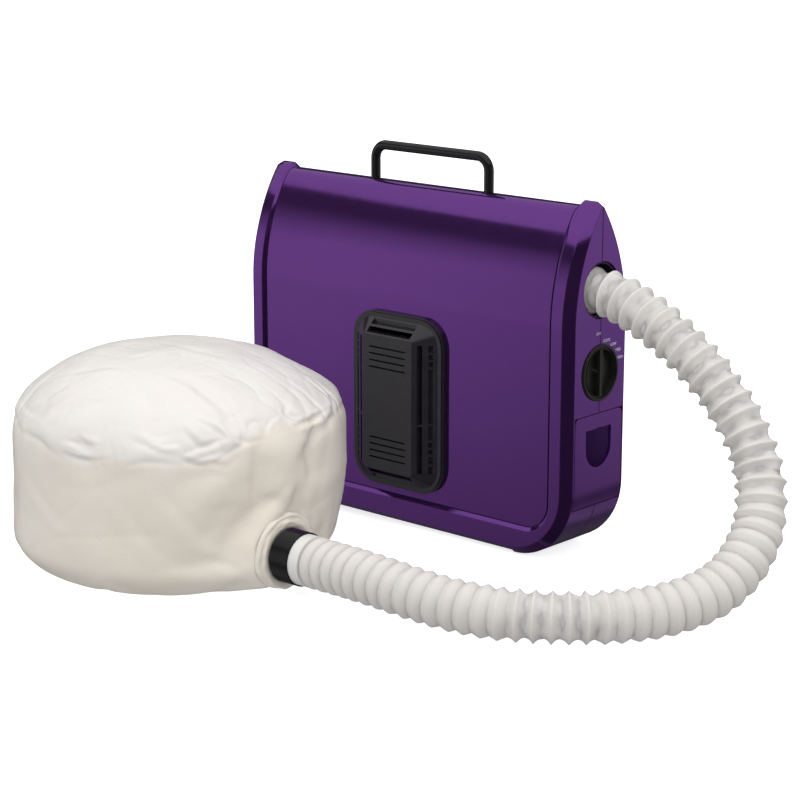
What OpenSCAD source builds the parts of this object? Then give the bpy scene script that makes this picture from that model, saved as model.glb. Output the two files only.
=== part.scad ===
/* [Case] */
// Overall width of the case
case_w = 350; // [330:2:380]
// Depth of the case over its end ribs
case_d = 80; // [80:1:92]
// Top of the ridge between the ribs, above the floor
ridge_z = 282; // [278:1:296]
// Height by which the end ribs stand above the ridge
rib_rise = 4; // [3:0.5:8]
// Height at which the front and back start to lean in
arch_z = 190; // [180:1:196]
// Wall thickness of the moulded shells
wall = 2.6; // [2:0.1:3]
// Thickness of the glossy panels laid over the shells
panel_t = 2; // [1.6:0.1:2.4]
// Width of each end rib
rib_w = 17.5; // [15:0.5:20]
// Radius of the bottom corners seen from the front
corner_r = 58; // [50:1:62]
// Bevel between the side face and the rib, across the width
bevel_x = 7; // [5:0.5:8]
// Bevel between the side face and the rib, across the depth
bevel_y = 8; // [6:0.5:9]
// Visible gap between mating mouldings
seam = 0.6; // [0.4:0.1:0.8]
// Height of the rubber feet below the ribs
foot_h = 1; // [0.6:0.1:2]

/* [Handle] */
// Diameter of the handle rod
rod_d = 8; // [7:0.5:10]
// Distance between the two legs of the handle
handle_w = 122; // [110:2:140]
// Distance from the pivots up to the middle of the grip
handle_reach = 40; // [36:1:46]
// Height of the handle pivots
pivot_z = 270; // [268:1:271]

/* [Air outlet and hose] */
// Outside diameter of the hose over its ribs
hose_d = 40; // [36:1:41]
// Inside diameter of the hose
hose_bore = 30; // [27:1:31]
// Depth of the valleys between the ribs of the hose
rib_depth = 2.6; // [1.5:0.1:3]
// Spacing of the ribs of the hose
hose_pitch = 12.5; // [11:0.5:16]
// Height of the air outlet in the side of the case
outlet_z = 217.5; // [214:0.5:220]
// Diameter of the outlet hole
outlet_d = 45; // [44:0.5:47]

/* [Switch knob] */
// Diameter of the dial
knob_d = 40; // [36:1:41]
// Width of the ring around the dial
bezel_w = 2.4; // [2:0.1:3]
// Height of the dial centre
knob_z = 152; // [148:1:156]
// Turn from off to the highest heat
knob_turn = 80; // [60:5:100]

/* [Cord door] */
// Width of the cord door
door_w = 60; // [54:1:60]
// Bottom edge of the cord door
door_z0 = 45.3; // [45:0.1:48]
// Top edge of the cord door
door_z1 = 119.3; // [112:0.1:122]
// Thickness of the cord door
door_t = 2.4; // [2:0.1:2.6]
// Width of the finger opening in the door
finger_w = 32; // [26:1:34]

/* [Intake grille] */
// Width of the grille flange
grille_w = 98.5; // [94:0.5:104]
// Height of the grille flange
grille_h = 147; // [138:1:150]
// Height of the grille centre
grille_z = 107; // [103:1:110]
// Distance by which the grille stands out from the panel
grille_out = 17; // [12:1:20]

/* [Blower and heater] */
// Radius of the fan wheel
wheel_r = 50; // [44:1:52]
// Axial length of the fan wheel
wheel_h = 26; // [20:1:27]
// Number of blades on the fan wheel
blades = 24; // [12:2:30]
// Diameter of the motor
motor_d = 42; // [36:1:46]
// Outside diameter of the heater tube
heater_d = 46; // [42:1:47]

/* [Bonnet] */
// Radius of the bonnet at its widest
bonnet_r = 130; // [124:1:132]
// Height of the crown of the bonnet
bonnet_h = 168; // [155:1:176]
// Radius of the opening for the head
rim_r = 86; // [80:1:90]
// Thickness of the outer fabric
fabric_t = 2.4; // [1.6:0.2:3]
// Air space between the outer fabric and the lining
air_gap = 9; // [8:0.5:14]
// Width of the locking collar at the bonnet
collar_l = 18; // [14:0.5:20]

/* [Hidden] */

$fn = 64;
eps = 0.01;
run_fit = 0.05;     // radial clearance of a running fit
still_gap = 0.3;    // clearance between pieces that move past each other
big = 600;          // length of a cut that passes right through
arc_steps = 18;     // facets of a long outline curve
nose_steps = 5;     // facets of a short outline curve

half_w = case_w/2;
side_half = case_d/2 - bevel_y;
rib_top = ridge_z + rib_rise;
case_z0 = foot_h;
frame_lift = 2.5;                       // the middle of the underside is raised between the ribs
panel_step = 2.8;                       // the ribs slope down this far to the panels
panel_half = case_d/2 - panel_step;
ridge_r = 14;
rib_nose = 6;                           // radius at the top of a rib
panel_z0 = case_z0 + 22.5;
panel_r = 25;
skin_in = panel_t + wall;

// ---- outlines of the case ----

// One side of an upright outline that leans in above arch_z to a round nose at the top
function arch_side(half, top, r) =
    let (rise = top - r - arch_z, bow = (rise*rise/(half - r) + r + half)/2,
        turn = atan2(rise, bow - half))
    concat([for (i = [0:arc_steps]) let (a = turn*i/arc_steps)
            [half - bow + bow*cos(a), arch_z + bow*sin(a)]],
        [for (i = [1:nose_steps]) let (a = turn + (90 - turn)*i/nose_steps)
            [r*cos(a), top - r + r*sin(a)]]);

function flipped(pts) = [for (i = [len(pts) - 1:-1:0]) if (pts[i][0] > eps) [-pts[i][0], pts[i][1]]];

module arch_2d(half, top, r) {
    side = arch_side(half, top, r);
    polygon(concat([[half, -eps]], side, flipped(side), [[-half, -eps]]));
}

// Upright outline with round bottom corners
module tub_2d(half, z0, r) {
    side = [for (i = [0:arc_steps]) let (a = -90 + 90*i/arc_steps)
        [half - r + r*cos(a), z0 + r + r*sin(a)]];
    polygon(concat(side, [[half, big]], [[-half, big]], flipped(side)));
}

// Where the two bowed faces of the ridge outline lie at height z
function ridge_half(z, in = 0) =
    let (half = panel_half, rise = ridge_z - ridge_r - arch_z,
        bow = (rise*rise/(half - ridge_r) + ridge_r + half)/2)
    z < arch_z ? half - in : sqrt(pow(bow - in, 2) - pow(z - arch_z, 2)) - (bow - half);

module along_x(w) {
    rotate([90, 0, 90]) translate([0, 0, -w/2]) linear_extrude(w) children();
}

module along_y(y0, y1) {
    translate([0, y1, 0]) rotate([90, 0, 0]) linear_extrude(y1 - y0) children();
}

module rod_x(r, x0, x1) {
    translate([x0, 0, 0]) rotate([0, 90, 0]) cylinder(r = r, h = x1 - x0);
}

module rod_y(r, y0, y1) {
    translate([0, y1, 0]) rotate([90, 0, 0]) cylinder(r = r, h = y1 - y0);
}

module block(x0, x1, y0, y1, z0, z1) {
    translate([x0, y0, z0]) cube([x1 - x0, y1 - y0, z1 - z0]);
}

crest_x = half_w - rib_w;               // edge of the rib's front

module panel_2d(in) {
    tub_2d(crest_x - in, panel_z0 + in, panel_r - in);
}

module panel_zone(in) {
    along_y(-big/2, big/2) panel_2d(in);
}

// Bevelled outer form of the case, without the panel zone
module case_form() {
    intersection() {
        hull() {
            along_x(case_w - 2*bevel_x) arch_2d(case_d/2, rib_top, rib_nose);
            along_x(case_w) arch_2d(side_half, rib_top - bevel_y*0.45, 2);
        }
        hull() {
            along_y(-case_d/2, case_d/2) tub_2d(half_w - bevel_x, case_z0 + bevel_x, corner_r - bevel_x);
            along_y(-side_half, side_half) tub_2d(half_w, case_z0, corner_r);
        }
    }
}

// Slope from the ribs and the bottom edge down to the panels
module panel_rim() {
    difference() {
        intersection() {
            panel_zone(-eps);
            union() {
                block(-half_w, half_w, -case_d/2, case_d/2, 0, arch_z);
                for (s = [-1, 1]) hull() {
                    translate([s*(crest_x + 0.5), 0, 0]) along_x(1)
                        arch_2d(case_d/2 - 2*eps, rib_top, rib_nose);
                    translate([s*(crest_x - panel_step), 0, 0]) along_x(eps)
                        arch_2d(panel_half - 2*eps, ridge_z, ridge_r);
                }
            }
        }
        panel_zone(panel_step);
        for (s = [0, 180]) rotate([0, 0, s]) hull() {
            along_y(case_d/2, case_d/2 + 1) panel_2d(0);
            along_y(panel_half, panel_half + eps) panel_2d(panel_step);
        }
    }
}

module ridge_form(in) {
    along_x(case_w - 2*rib_w + 2) arch_2d(panel_half - in, ridge_z - in, ridge_r - in);
}

cavity_z0 = case_z0 + frame_lift + wall;
cavity_half = half_w - wall;            // inner face of the side walls
neck_half = half_w - rib_w + 7.5;       // the wide part of the cavity ends here

module cavity() {
    intersection() {
        union() {
            along_x(2*neck_half) arch_2d(panel_half - skin_in, ridge_z - skin_in, ridge_r - skin_in);
            along_x(2*cavity_half) arch_2d(side_half - wall, rib_top - bevel_y*0.45 - wall - 2, 2);
        }
        along_y(-big/2, big/2) tub_2d(cavity_half, cavity_z0, corner_r - 3);
    }
}

foot_in = half_w - corner_r + 0.5;      // inner ends of the ribs under the case

// Fine groove where the two shells meet
module parting_groove() {
    along_y(-seam/2, seam/2) difference() {
        square([2*big, 2*big], center = true);
        tub_2d(half_w - 0.7, case_z0 + frame_lift + 0.7, corner_r - 0.7);
    }
}

// ---- places shared by the pieces ----

grille_hole_w = grille_w - 17;
grille_hole_h = grille_h - 17;
bezel_r = knob_d/2 + still_gap + bezel_w;
cup_r = knob_d/2 + still_gap + 1.8;
cup_x0 = half_w - 12.4;
cup_floor = 2.5;
door_gap = 0.5;
door_y = door_w/2;
pin_x = half_w - 3.5;
pin_z = door_z0 + 2.7;
pin_r = 1.2;
knuckle_r = 2.2;
pin_half = door_y + 2.5;
boss_r = 4;
screw_r = 1.5;
screw_head_r = 2.9;
side_screw_x = half_w - 25;
top_screw_x = handle_w/2 + 39;
low_screw_x = 60;
low_screw_z = case_z0 + 13;
top_screw_z = ridge_z - 20;
// Case screws: place across the width and height
screw_xz = [[-side_screw_x, 70], [-side_screw_x, 180], [side_screw_x, outlet_z - 37.5],
    [-low_screw_x, low_screw_z], [low_screw_x, low_screw_z],
    [-top_screw_x, top_screw_z], [top_screw_x, top_screw_z]];

function boss_y(z) = ridge_half(z, skin_in);

module bosses(front) {
    for (p = screw_xz) translate([p[0], 0, p[1]])
        if (front) rod_y(boss_r, -boss_y(p[1]) - 1, 0);
        else rod_y(boss_r, 0, boss_y(p[1]) + 1);
}

shelf_z = 252;
shelf_t = 3;
bracket_w = 22;
slot_w = rod_d + 0.8;

module handle_shelf() {
    intersection() {
        for (s = [-1, 1]) translate([s*handle_w/2, 0, 0])
            block(-bracket_w/2 - 2, bracket_w/2 + 2, -case_d/2, 0, shelf_z - shelf_t, shelf_z);
        along_x(case_w) arch_2d(panel_half - panel_t - 0.5, ridge_z - panel_t - 0.5, ridge_r - panel_t - 0.5);
    }
}

// Slots for the handle legs, open to the back so that the handle folds down
module handle_slots() {
    for (s = [-1, 1]) translate([s*handle_w/2, 0, 0])
        block(-slot_w/2, slot_w/2, -rod_d/2 - 0.4, case_d, pivot_z - rod_d/2 - 0.4, big);
}

module side_holes() {
    translate([0, 0, outlet_z]) rod_x(outlet_d/2, half_w - bevel_x - 4, half_w + 1);
    translate([0, 0, knob_z]) rod_x(cup_r + 0.1, cup_x0 - 1, half_w + 1);
    intersection() {
        block(pin_x - knuckle_r - 1.5, half_w + 1, -door_y - door_gap, door_y + door_gap,
            door_z0 - 0.8, door_z1 + door_gap);
        along_y(-door_y - door_gap, door_y + door_gap)
            translate([-big, 0]) square([2*big, big]);
    }
    translate([pin_x, 0, pin_z]) rod_y(pin_r, -pin_half, pin_half);
}

module shell_blank(front) {
    difference() {
        union() {
            difference() {
                case_form();
                panel_zone(0);
            }
            intersection() {
                ridge_form(panel_t);
                panel_zone(-1);
            }
            panel_rim();
        }
        block(-foot_in, foot_in, -big, big, -1, case_z0 + frame_lift);
        if (front) block(-big, big, 0, big, -big, big);
        else block(-big, big, -big, 0, -big, big);
    }
}

module case_half(front) {
    difference() {
        union() {
            difference() {
                shell_blank(front);
                cavity();
            }
            bosses(front);
        }
        parting_groove();
        side_holes();
        handle_slots();
        for (s = [-1, 1]) translate([s*foot_x, 0, 0]) foot_recess();
        for (p = screw_xz) translate([p[0], 0, p[1]])
            if (front) rod_y(screw_r, -12, 1);
            else {
                rod_y(screw_r + 0.3, -1, big/2);
                rod_y(screw_head_r + still_gap, boss_y(p[1]) - 1.5, big/2);
            }
    }
}

// ---- case ----

foot_w = 8;
foot_x = foot_in + foot_w/2 + 1;
foot_l = 44;
pad_w = 28;
pad_l = 14;
foot_sunk = 1.6;

module foot_recess() {
    block(-foot_w/2, foot_w/2, -foot_l/2, foot_l/2, -1, foot_top);
}

foot_top = case_z0 + foot_sunk;

module front_shell() color("#4b2870") {
    difference() {
        union() {
            case_half(true);
            handle_shelf();
        }
        translate([-grille_hole_w/2, -case_d, grille_z - grille_hole_h/2])
            cube([grille_hole_w, case_d - 10, grille_hole_h]);
        for (s = [-1, 1]) translate([s*handle_w/2, -bracket_screw_y, shelf_z - 6])
            cylinder(r = 1.2, h = 10);
    }
}

module rear_shell() color("#4b2870") {
    case_half(false);
    translate([fan_x, 0, fan_z]) at_scroll(post_a, post_r) difference() {
        rod_y(post_r - 0.5, scroll_y1 + scroll_w, panel_half - panel_t - 1);
        rod_y(screw_r, scroll_y1, scroll_y1 + scroll_w + 9);
    }
}

module panel(front) {
    y_seam = 0.15;
    difference() {
        intersection() {
            difference() {
                ridge_form(0);
                ridge_form(panel_t);
            }
            panel_zone(panel_step + seam);
            if (front) block(-big, big, -big, -y_seam, -big, big);
            else block(-big, big, y_seam, big, -big, big);
        }
        handle_slots();
        if (front) translate([-grille_hole_w/2, -case_d, grille_z - grille_hole_h/2])
            cube([grille_hole_w, case_d, grille_hole_h]);
        else {
            for (p = screw_xz) translate([p[0], 0, p[1]])
                if (p[1] > panel_z0) rod_y(screw_head_r + 0.7, 1, big/2);
            // groove behind the ridge, where fingers lift the grip
            block(-handle_w/2 + 14, handle_w/2 - 14, 3.2, 4.6, ridge_z - 1.6, ridge_z + 2);
        }
    }
}

module front_panel() color("#5a2f82") panel(true);

module rear_panel() color("#5a2f82") panel(false);

module rubber_feet() color("#1c1c1e") {
    for (s = [-1, 1]) translate([s*foot_x, 0, 0])
        block(-foot_w/2 + 0.2, foot_w/2 - 0.2, -foot_l/2 + 0.2, foot_l/2 - 0.2, 0, foot_top);
    // pad under the middle, behind the front edge
    block(-pad_w/2, pad_w/2, -pad_l/2, pad_l/2, 0, case_z0 + frame_lift);
}

module case_screws() color("#8d9096") {
    for (p = screw_xz) translate([p[0], 0, p[1]]) difference() {
        union() {
            rod_y(screw_r, -11, boss_y(p[1]) - 1.4);
            rod_y(screw_head_r, boss_y(p[1]) - 1.5, boss_y(p[1]) + 0.5);
        }
        for (a = [0, 90]) rotate([0, a, 0])
            block(-1.7, 1.7, boss_y(p[1]) - 0.6, boss_y(p[1]) + 1, -0.4, 0.4);
    }
}

// ---- intake grille ----

face_w = 53;
face_h = 113;
rim_t = 5;
grille_y0 = -panel_half;
grille_y1 = grille_y0 - grille_out;
slot_h = 1.3;
bar_z = [-46, -38, -32, -26, -12, 35, 41, 47];    // small bars across the outer slots

module round_box(w, h, r, y0, y1) {
    along_y(y0, y1) hull() for (x = [-1, 1], z = [-1, 1])
        translate([x*(w/2 - r), z*(h/2 - r)]) circle(r = r, $fn = 32);
}

module grille_block(in) {
    hull() {
        round_box(grille_w - 10 - 2*in, grille_h - 10 - 2*in, 18, grille_y0 - rim_t - eps, grille_y0 - 2 + in);
        round_box(face_w - 2*in, face_h - 2*in, 2, grille_y1 + in, grille_y1 + in + 1);
    }
}

module intake_grille() color("#18181b") translate([0, 0, grille_z]) {
    difference() {
        union() {
            round_box(grille_w, grille_h, 24, grille_y0 - rim_t + 1.4, grille_y0);
            round_box(grille_w - 3, grille_h - 3, 22.5, grille_y0 - rim_t, grille_y0);
            grille_block(0);
        }
        translate([0, 4, 0]) grille_block(2.2);
        // four fine slots near each end of the face
        for (s = [-1, 1], i = [0:3])
            block(-face_w/2 + 7, face_w/2 - 7, grille_y1 - 1, grille_y1 + 5,
                s*(face_h/2 - 10 - i*5.6) - slot_h/2, s*(face_h/2 - 10 - i*5.6) + slot_h/2);
        // two wide slots in each end slope
        for (s = [-1, 1], i = [0, 1]) translate([0, 0, s*(face_h/2 + 3.2 + i*5.8)])
            block(-face_w/2 + 3, face_w/2 - 3, grille_y1 - 1, grille_y0 - rim_t - 1, -2.1, 2.1);
        // two long slots in each side slope, with small bars across them
        for (s = [-1, 1]) translate([s*(face_w/2 + 5.5), 0, 0]) difference() {
            block(-1.8, 1.8, grille_y1 - 1, grille_y0 - rim_t - 1, -face_h/2 + 3, face_h/2 - 3);
            block(-2, 2, grille_y1 - 2, grille_y0, -14, -12);
        }
        for (s = [-1, 1]) translate([s*(face_w/2 + 13.5), 0, 0]) difference() {
            block(-2, 2, grille_y1 - 1, grille_y0 - rim_t - 1, -face_h/2 + 3, face_h/2 - 3);
            for (z = bar_z) block(-3, 3, grille_y1 - 2, grille_y0, z - 1, z + 1);
        }
    }
    // clips that hook behind the shell
    for (x = [-1, 1], z = [-1, 1]) translate([x*(grille_hole_w/2 - 2.2), 0, z*grille_hole_h/4]) {
        block(-1, 1.9, grille_y0 - 3.5, grille_y0 + skin_in - 0.2, -5, 5);
    }
}

filter_y0 = -panel_half + skin_in + 2.4;

module filter_frame() color("#2a2a2e") translate([0, filter_y0, grille_z]) {
    difference() {
        round_box(grille_hole_w + 10, grille_hole_h + 10, 6, -2, 0);
        round_box(grille_hole_w - 8, grille_hole_h - 8, 4, -3, 1);
    }
}

module filter_mesh() color("#3a3a3e") translate([0, filter_y0, grille_z])
    difference() {
        round_box(grille_hole_w - 2, grille_hole_h - 2, 5, 0, 0.8);
        for (i = [-5:5], k = [-7:7]) translate([i*7, -1, k*8]) block(-2.6, 2.6, 0, 3, -3, 3);
    }

// ---- handle ----

bend_r = 11.5;
eye_r = 5;
eye_bore = 2.55;
pin_d = 5;
grip_z = pivot_z + handle_reach;

module quarter_bend(s) {
    translate([s*(handle_w/2 - bend_r), 0, grip_z - bend_r]) rotate([90, 0, 0])
        rotate([0, 0, s > 0 ? 0 : 90]) rotate_extrude(angle = 90) translate([bend_r, 0]) circle(r = rod_d/2);
}

module handle() color("#1b1b1d") {
    difference() {
        union() {
            for (s = [-1, 1]) {
                translate([s*handle_w/2, 0, pivot_z]) cylinder(r = rod_d/2, h = handle_reach - bend_r);
                quarter_bend(s);
                translate([s*handle_w/2, 0, pivot_z]) rod_x(eye_r, -rod_d/2, rod_d/2);
            }
            translate([0, 0, grip_z]) rod_x(rod_d/2, -handle_w/2 + bend_r, handle_w/2 - bend_r);
        }
        for (s = [-1, 1]) translate([s*handle_w/2, 0, pivot_z]) rod_x(eye_bore, -rod_d, rod_d);
    }
}

module handle_pins() color("#a5a8ad") {
    for (s = [-1, 1]) translate([s*handle_w/2, 0, pivot_z])
        rod_x(pin_d/2, -bracket_w/2 - 1, bracket_w/2 + 1);
}

bracket_screw_y = 8;
bracket_r = 5.2;

module handle_brackets() color("#77797f") {
    for (s = [-1, 1]) translate([s*handle_w/2, 0, 0]) difference() {
        union() {
            translate([0, 0, pivot_z]) rod_x(bracket_r, -bracket_w/2, bracket_w/2);
            block(-bracket_w/2, bracket_w/2, -bracket_r, bracket_r, shelf_z, pivot_z);
            block(-bracket_w/2, bracket_w/2, -bracket_screw_y - 4, bracket_r, shelf_z, shelf_z + 2.4);
        }
        block(-rod_d/2 - 0.4, rod_d/2 + 0.4, -big, big, pivot_z - eye_r - 0.6, big);
        translate([0, 0, pivot_z]) rod_x(pin_d/2, -bracket_w, bracket_w);
        translate([0, -bracket_screw_y, shelf_z - 1]) cylinder(r = 1.5, h = 5);
    }
}

module bracket_screws() color("#8d9096") {
    for (s = [-1, 1]) translate([s*handle_w/2, -bracket_screw_y, shelf_z]) {
        translate([0, 0, -6]) cylinder(r = 1.2, h = 9);
        translate([0, 0, 2.4]) cylinder(r = 2.6, h = 1.6);
    }
}

// ---- switch knob ----

knob_x0 = half_w - 5.8;
knob_x1 = half_w + 1.2;
scoop_r = knob_d/2 - 1.4;
grip_half = 1.6;
shaft_r = 3;
shaft_x0 = cup_x0 - 18;
shaft_x1 = knob_x1 - 2.5;
bushing_r = 5;
hub_r = 8;
nut_t = 2.2;
stop_r = 9;
stop_x0 = cup_x0 - 14;
stop_x1 = stop_x0 + 3;
stop_half = 8;      // half angle of the tab that stops the shaft
stop_room = 2;      // angle left past the tab at each limit

// Part of a disc about the dial's axis, from straight up towards the back
module sector(r, x0, x1, a0, a1) {
    translate([x1, 0, 0]) rotate([0, -90, 0]) rotate([0, 0, a0])
        rotate_extrude(angle = a1 - a0) square([r, x1 - x0]);
}

module at_knob() {
    translate([0, 0, knob_z]) children();
}

module knob() color("#26261f") at_knob() difference() {
    union() {
        rod_x(knob_d/2, knob_x0, knob_x1 - 1);
        rod_x(knob_d/2 - 1.2, knob_x1 - 1 - eps, knob_x1);
        rod_x(hub_r, knob_x0 - 1.5, knob_x0 + 1);
    }
    // a deep scoop each side of the upright grip
    for (s = [-1, 1]) intersection() {
        rod_x(scoop_r, knob_x0 + 1.8, knob_x1 + 1);
        translate([0, s*(grip_half + knob_d/2), 0])
            block(0, big, -knob_d/2, knob_d/2, -knob_d, knob_d);
    }
    rod_x(shaft_r, knob_x0 - 3, shaft_x1 + 0.1);
}

module knob_bezel() color("#2b2b25") at_knob() difference() {
    union() {
        rod_x(bezel_r, half_w, half_w + 0.8);
        rod_x(bezel_r - 0.8, half_w, half_w + 1.4);
        rod_x(cup_r, cup_x0, half_w + 1);
    }
    rod_x(knob_d/2 + still_gap, cup_x0 + cup_floor, half_w + 5);
    rod_x(bushing_r + 0.05, cup_x0 - 1, half_w);
}

module rotary_switch() color("#d8d4c8") at_knob() difference() {
    union() {
        block(cup_x0 - 22, cup_x0, -15, 15, -15, 15);
        rod_x(bushing_r, cup_x0 - 1, cup_x0 + cup_floor + nut_t);
        for (y = [-9, -3, 3, 9]) block(cup_x0 - 31, cup_x0 - 21, y - 0.4, y + 0.4, -3, 3);
    }
    rod_x(shaft_r + run_fit, shaft_x0 - 0.5, half_w);
    sector(stop_r + still_gap, stop_x0 - still_gap, stop_x1 + still_gap,
        -stop_half - stop_room, knob_turn + stop_half + stop_room);
}

module switch_shaft() color("#b9bcc2") at_knob() {
    rod_x(shaft_r, shaft_x0, shaft_x1);
    sector(stop_r, stop_x0, stop_x1, -stop_half, stop_half);
}

module switch_nut() color("#b9bcc2") at_knob() difference() {
    translate([cup_x0 + cup_floor, 0, 0]) rotate([0, 90, 0]) cylinder(r = 7, h = nut_t, $fn = 6);
    rod_x(bushing_r, cup_x0, half_w);
}

// ---- cord door and cord compartment ----

box_x0 = half_w - 57;
box_x1 = pin_x - knuckle_r - 1.8;
box_y = side_half - wall - 0.6;
box_z0 = pin_z + 4.5;
box_z1 = door_z1 - 1;
finger_z1 = door_z1 - 12;
finger_z0 = finger_z1 - 31.5;

module finger_2d() {
    translate([-finger_w/2, finger_z0 + finger_w/2]) square([finger_w, finger_z1 - finger_z0 - finger_w/2]);
    translate([0, finger_z0 + finger_w/2]) circle(r = finger_w/2);
}

module cord_door() color("#4b2870") difference() {
    union() {
        intersection() {
            along_y(-door_y, door_y) difference() {
                tub_2d(half_w, case_z0, corner_r);
                tub_2d(half_w - door_t, case_z0 + door_t, corner_r - door_t);
            }
            along_x(case_w + 10) hull() {
                translate([-door_y, door_z0]) square([door_w, 10]);
                for (s = [-1, 1]) translate([s*(door_y - 5), door_z1 - 5]) circle(r = 5, $fn = 32);
            }
            block(0, case_w, -case_d, case_d, 0, big);
        }
        for (s = [-1, 1]) translate([pin_x, s*(door_y - 7), pin_z]) rod_y(knuckle_r, -4, 4);
        // latch tongue
        block(half_w - door_t - 3, half_w - door_t + 0.5, -5, 5, door_z1 - 4, door_z1 - 2.4);
    }
    along_x(case_w + 20) finger_2d();
    translate([pin_x, 0, pin_z]) rod_y(pin_r + run_fit, -door_w, door_w);
}

module door_pin() color("#a5a8ad") translate([pin_x, 0, pin_z]) rod_y(pin_r, -pin_half, pin_half);

module cord_compartment() color("#1d1b24") difference() {
    union() {
        block(box_x0, box_x1, -box_y, box_y, box_z0, box_z1);
        block(box_x1 - 2, box_x1, -box_y - 0.5, box_y + 0.5, box_z0 - 1, box_z1 + 2);
    }
    block(box_x0 + 1.8, box_x1 + 1, -box_y + 1.8, box_y - 1.8, box_z0 + 1.8, box_z1 - 1.8);
    translate([0, 0, gland_z]) rod_x(gland_r, box_x0 - 1, box_x0 + 3);
}

gland_r = 5;
gland_z = (box_z0 + box_z1)/2;

module cord_gland() color("#151517") translate([0, 0, gland_z]) difference() {
    union() {
        rod_x(gland_r, box_x0 - 3, box_x0 + 2);
        rod_x(gland_r + 2, box_x0 + 1.8, box_x0 + 3.6);
        rod_x(gland_r + 1.6, box_x0 - 4.5, box_x0);
        rod_x(gland_r - 0.8, box_x0 + 3, box_x0 + 12);
    }
    rod_x(2.6, box_x0 - 6, box_x0 + 14);
}

module terminal_block() color("#ece8dc") translate([box_x0 - 26, 0, cavity_z0]) {
    difference() {
        block(-8, 8, -20, 20, 0, 16);
        for (y = [-14, -5, 5, 14]) translate([0, y, 8]) {
            cylinder(r = 2, h = 9);
            rod_x(1.6, -9, 9);
        }
    }
}

// ---- blower ----

fan_x = -10;
scroll_y0 = filter_y0 + 7.5;
scroll_y1 = 10;
hub_y0 = scroll_y0 + 1 + wheel_h;      // back of the wheel's disc
scroll_w = 2;
tongue_a = 62;
duct_x = 42;
scroll_r0 = wheel_r + 6;
scroll_r1 = scroll_r0 + 35;
fan_z = outlet_z - (scroll_r0 + scroll_r1)/2;   // the duct leaves level with the outlet

// Outer wall of the scroll, growing clockwise from the tongue up to the top
function scroll_pt(i, n, out) =
    let (t = i/n, a = tongue_a - (tongue_a + 270)*t, r = scroll_r0 + (scroll_r1 - scroll_r0)*t + out)
    [r*cos(a), r*sin(a)];

module scroll_2d(out) {
    steps = 40;
    polygon(concat([for (i = [0:steps]) scroll_pt(i, steps, out)],
        [[duct_x - fan_x, scroll_r1 + out], [duct_x - fan_x, scroll_r0 - out]],
        [[scroll_r0*cos(tongue_a) + 8, scroll_r0 - out]]));
}

module blower_housing() color("#cfcac0") translate([fan_x, 0, fan_z]) difference() {
    union() {
        along_y(scroll_y0, scroll_y1 + scroll_w) scroll_2d(scroll_w);
        at_scroll(post_a, post_r) rod_y(post_r, scroll_y1 - 2, scroll_y1 + scroll_w);
    }
    along_y(scroll_y0 - 1, scroll_y1) scroll_2d(0);
    at_scroll(cover_a, scroll_w/2) rod_y(cover_screw_r, -big/2, scroll_y0 + 8.5);
    at_scroll(post_a, post_r) rod_y(screw_r, -big/2, big/2);
    translate([duct_x - fan_x - 3, scroll_y0 - 1, scroll_r0])
        cube([5, scroll_y1 - scroll_y0 + 1, scroll_r1 - scroll_r0]);
    rod_y(7.5, 0, big/2);
    for (a = [45:90:315]) rotate([0, a, 0]) translate([motor_screw_out, 0, 0]) rod_y(screw_r, 0, big/2);
}

module blower_cover() color("#bdb8ae") translate([fan_x, 0, fan_z]) difference() {
    union() {
        along_y(scroll_y0 - 2, scroll_y0) scroll_2d(scroll_w);
        rod_y(wheel_r - 8, scroll_y0 - 5, scroll_y0);
    }
    rod_y(wheel_r - 11, scroll_y0 - 6, scroll_y0 + 1);
    at_scroll(cover_a, scroll_w/2) rod_y(cover_screw_r, -big/2, big/2);
}

cover_a = [20, -60, -130, 160];
post_a = [-25, -95, 175];     // places of the posts that carry the blower
cover_screw_r = 0.7;
post_r = 5;

// Children at each of the angles, out from the middle of the scroll's wall
module at_scroll(angles, out) {
    for (a = angles) let (t = (tongue_a - (a > tongue_a ? a - 360 : a))/(tongue_a + 270),
            r = scroll_r0 + (scroll_r1 - scroll_r0)*t + out)
        translate([r*cos(a), 0, r*sin(a)]) children();
}

module cover_screws() color("#8d9096") translate([fan_x, 0, fan_z])
    at_scroll(cover_a, scroll_w/2) {
        rod_y(cover_screw_r, scroll_y0 - 3, scroll_y0 + 8);
        rod_y(1.6, scroll_y0 - 3.4, scroll_y0 - 2);
    }

module blower_screws() color("#8d9096") translate([fan_x, 0, fan_z])
    at_scroll(post_a, post_r) {
        rod_y(screw_r, scroll_y1 - 2, scroll_y1 + scroll_w + 8);
        rod_y(2.8, scroll_y1 - 4, scroll_y1 - 2);
    }

module fan_wheel() color("#33363c") translate([fan_x, 0, fan_z]) difference() {
    union() {
        difference() {
            rod_y(wheel_r, hub_y0 - 2, hub_y0);
            for (a = [0:60:300]) rotate([0, a, 0]) translate([28, 0, 0]) rod_y(4, -10, 10);
        }
        difference() {
            rod_y(wheel_r, hub_y0 - wheel_h, hub_y0 - wheel_h + 2);
            rod_y(wheel_r - 9, hub_y0 - wheel_h - 1, hub_y0 - wheel_h + 3);
        }
        rod_y(6.5, hub_y0 - 12, hub_y0 + 1.5);
        for (i = [0:blades - 1]) rotate([0, i*360/blades, 0]) translate([wheel_r - 4.6, 0, 0])
            rotate([0, 35, 0]) block(-4, 4, hub_y0 - wheel_h + 1, hub_y0 - 1, -0.6, 0.6);
    }
    rod_y(motor_shaft_r, -big/2, big/2);
}

motor_shaft_r = 2.5;
motor_screw_out = motor_d/2 - 7;
motor_y0 = scroll_y1 + scroll_w;
motor_y1 = panel_half - skin_in - 1.2;

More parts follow.
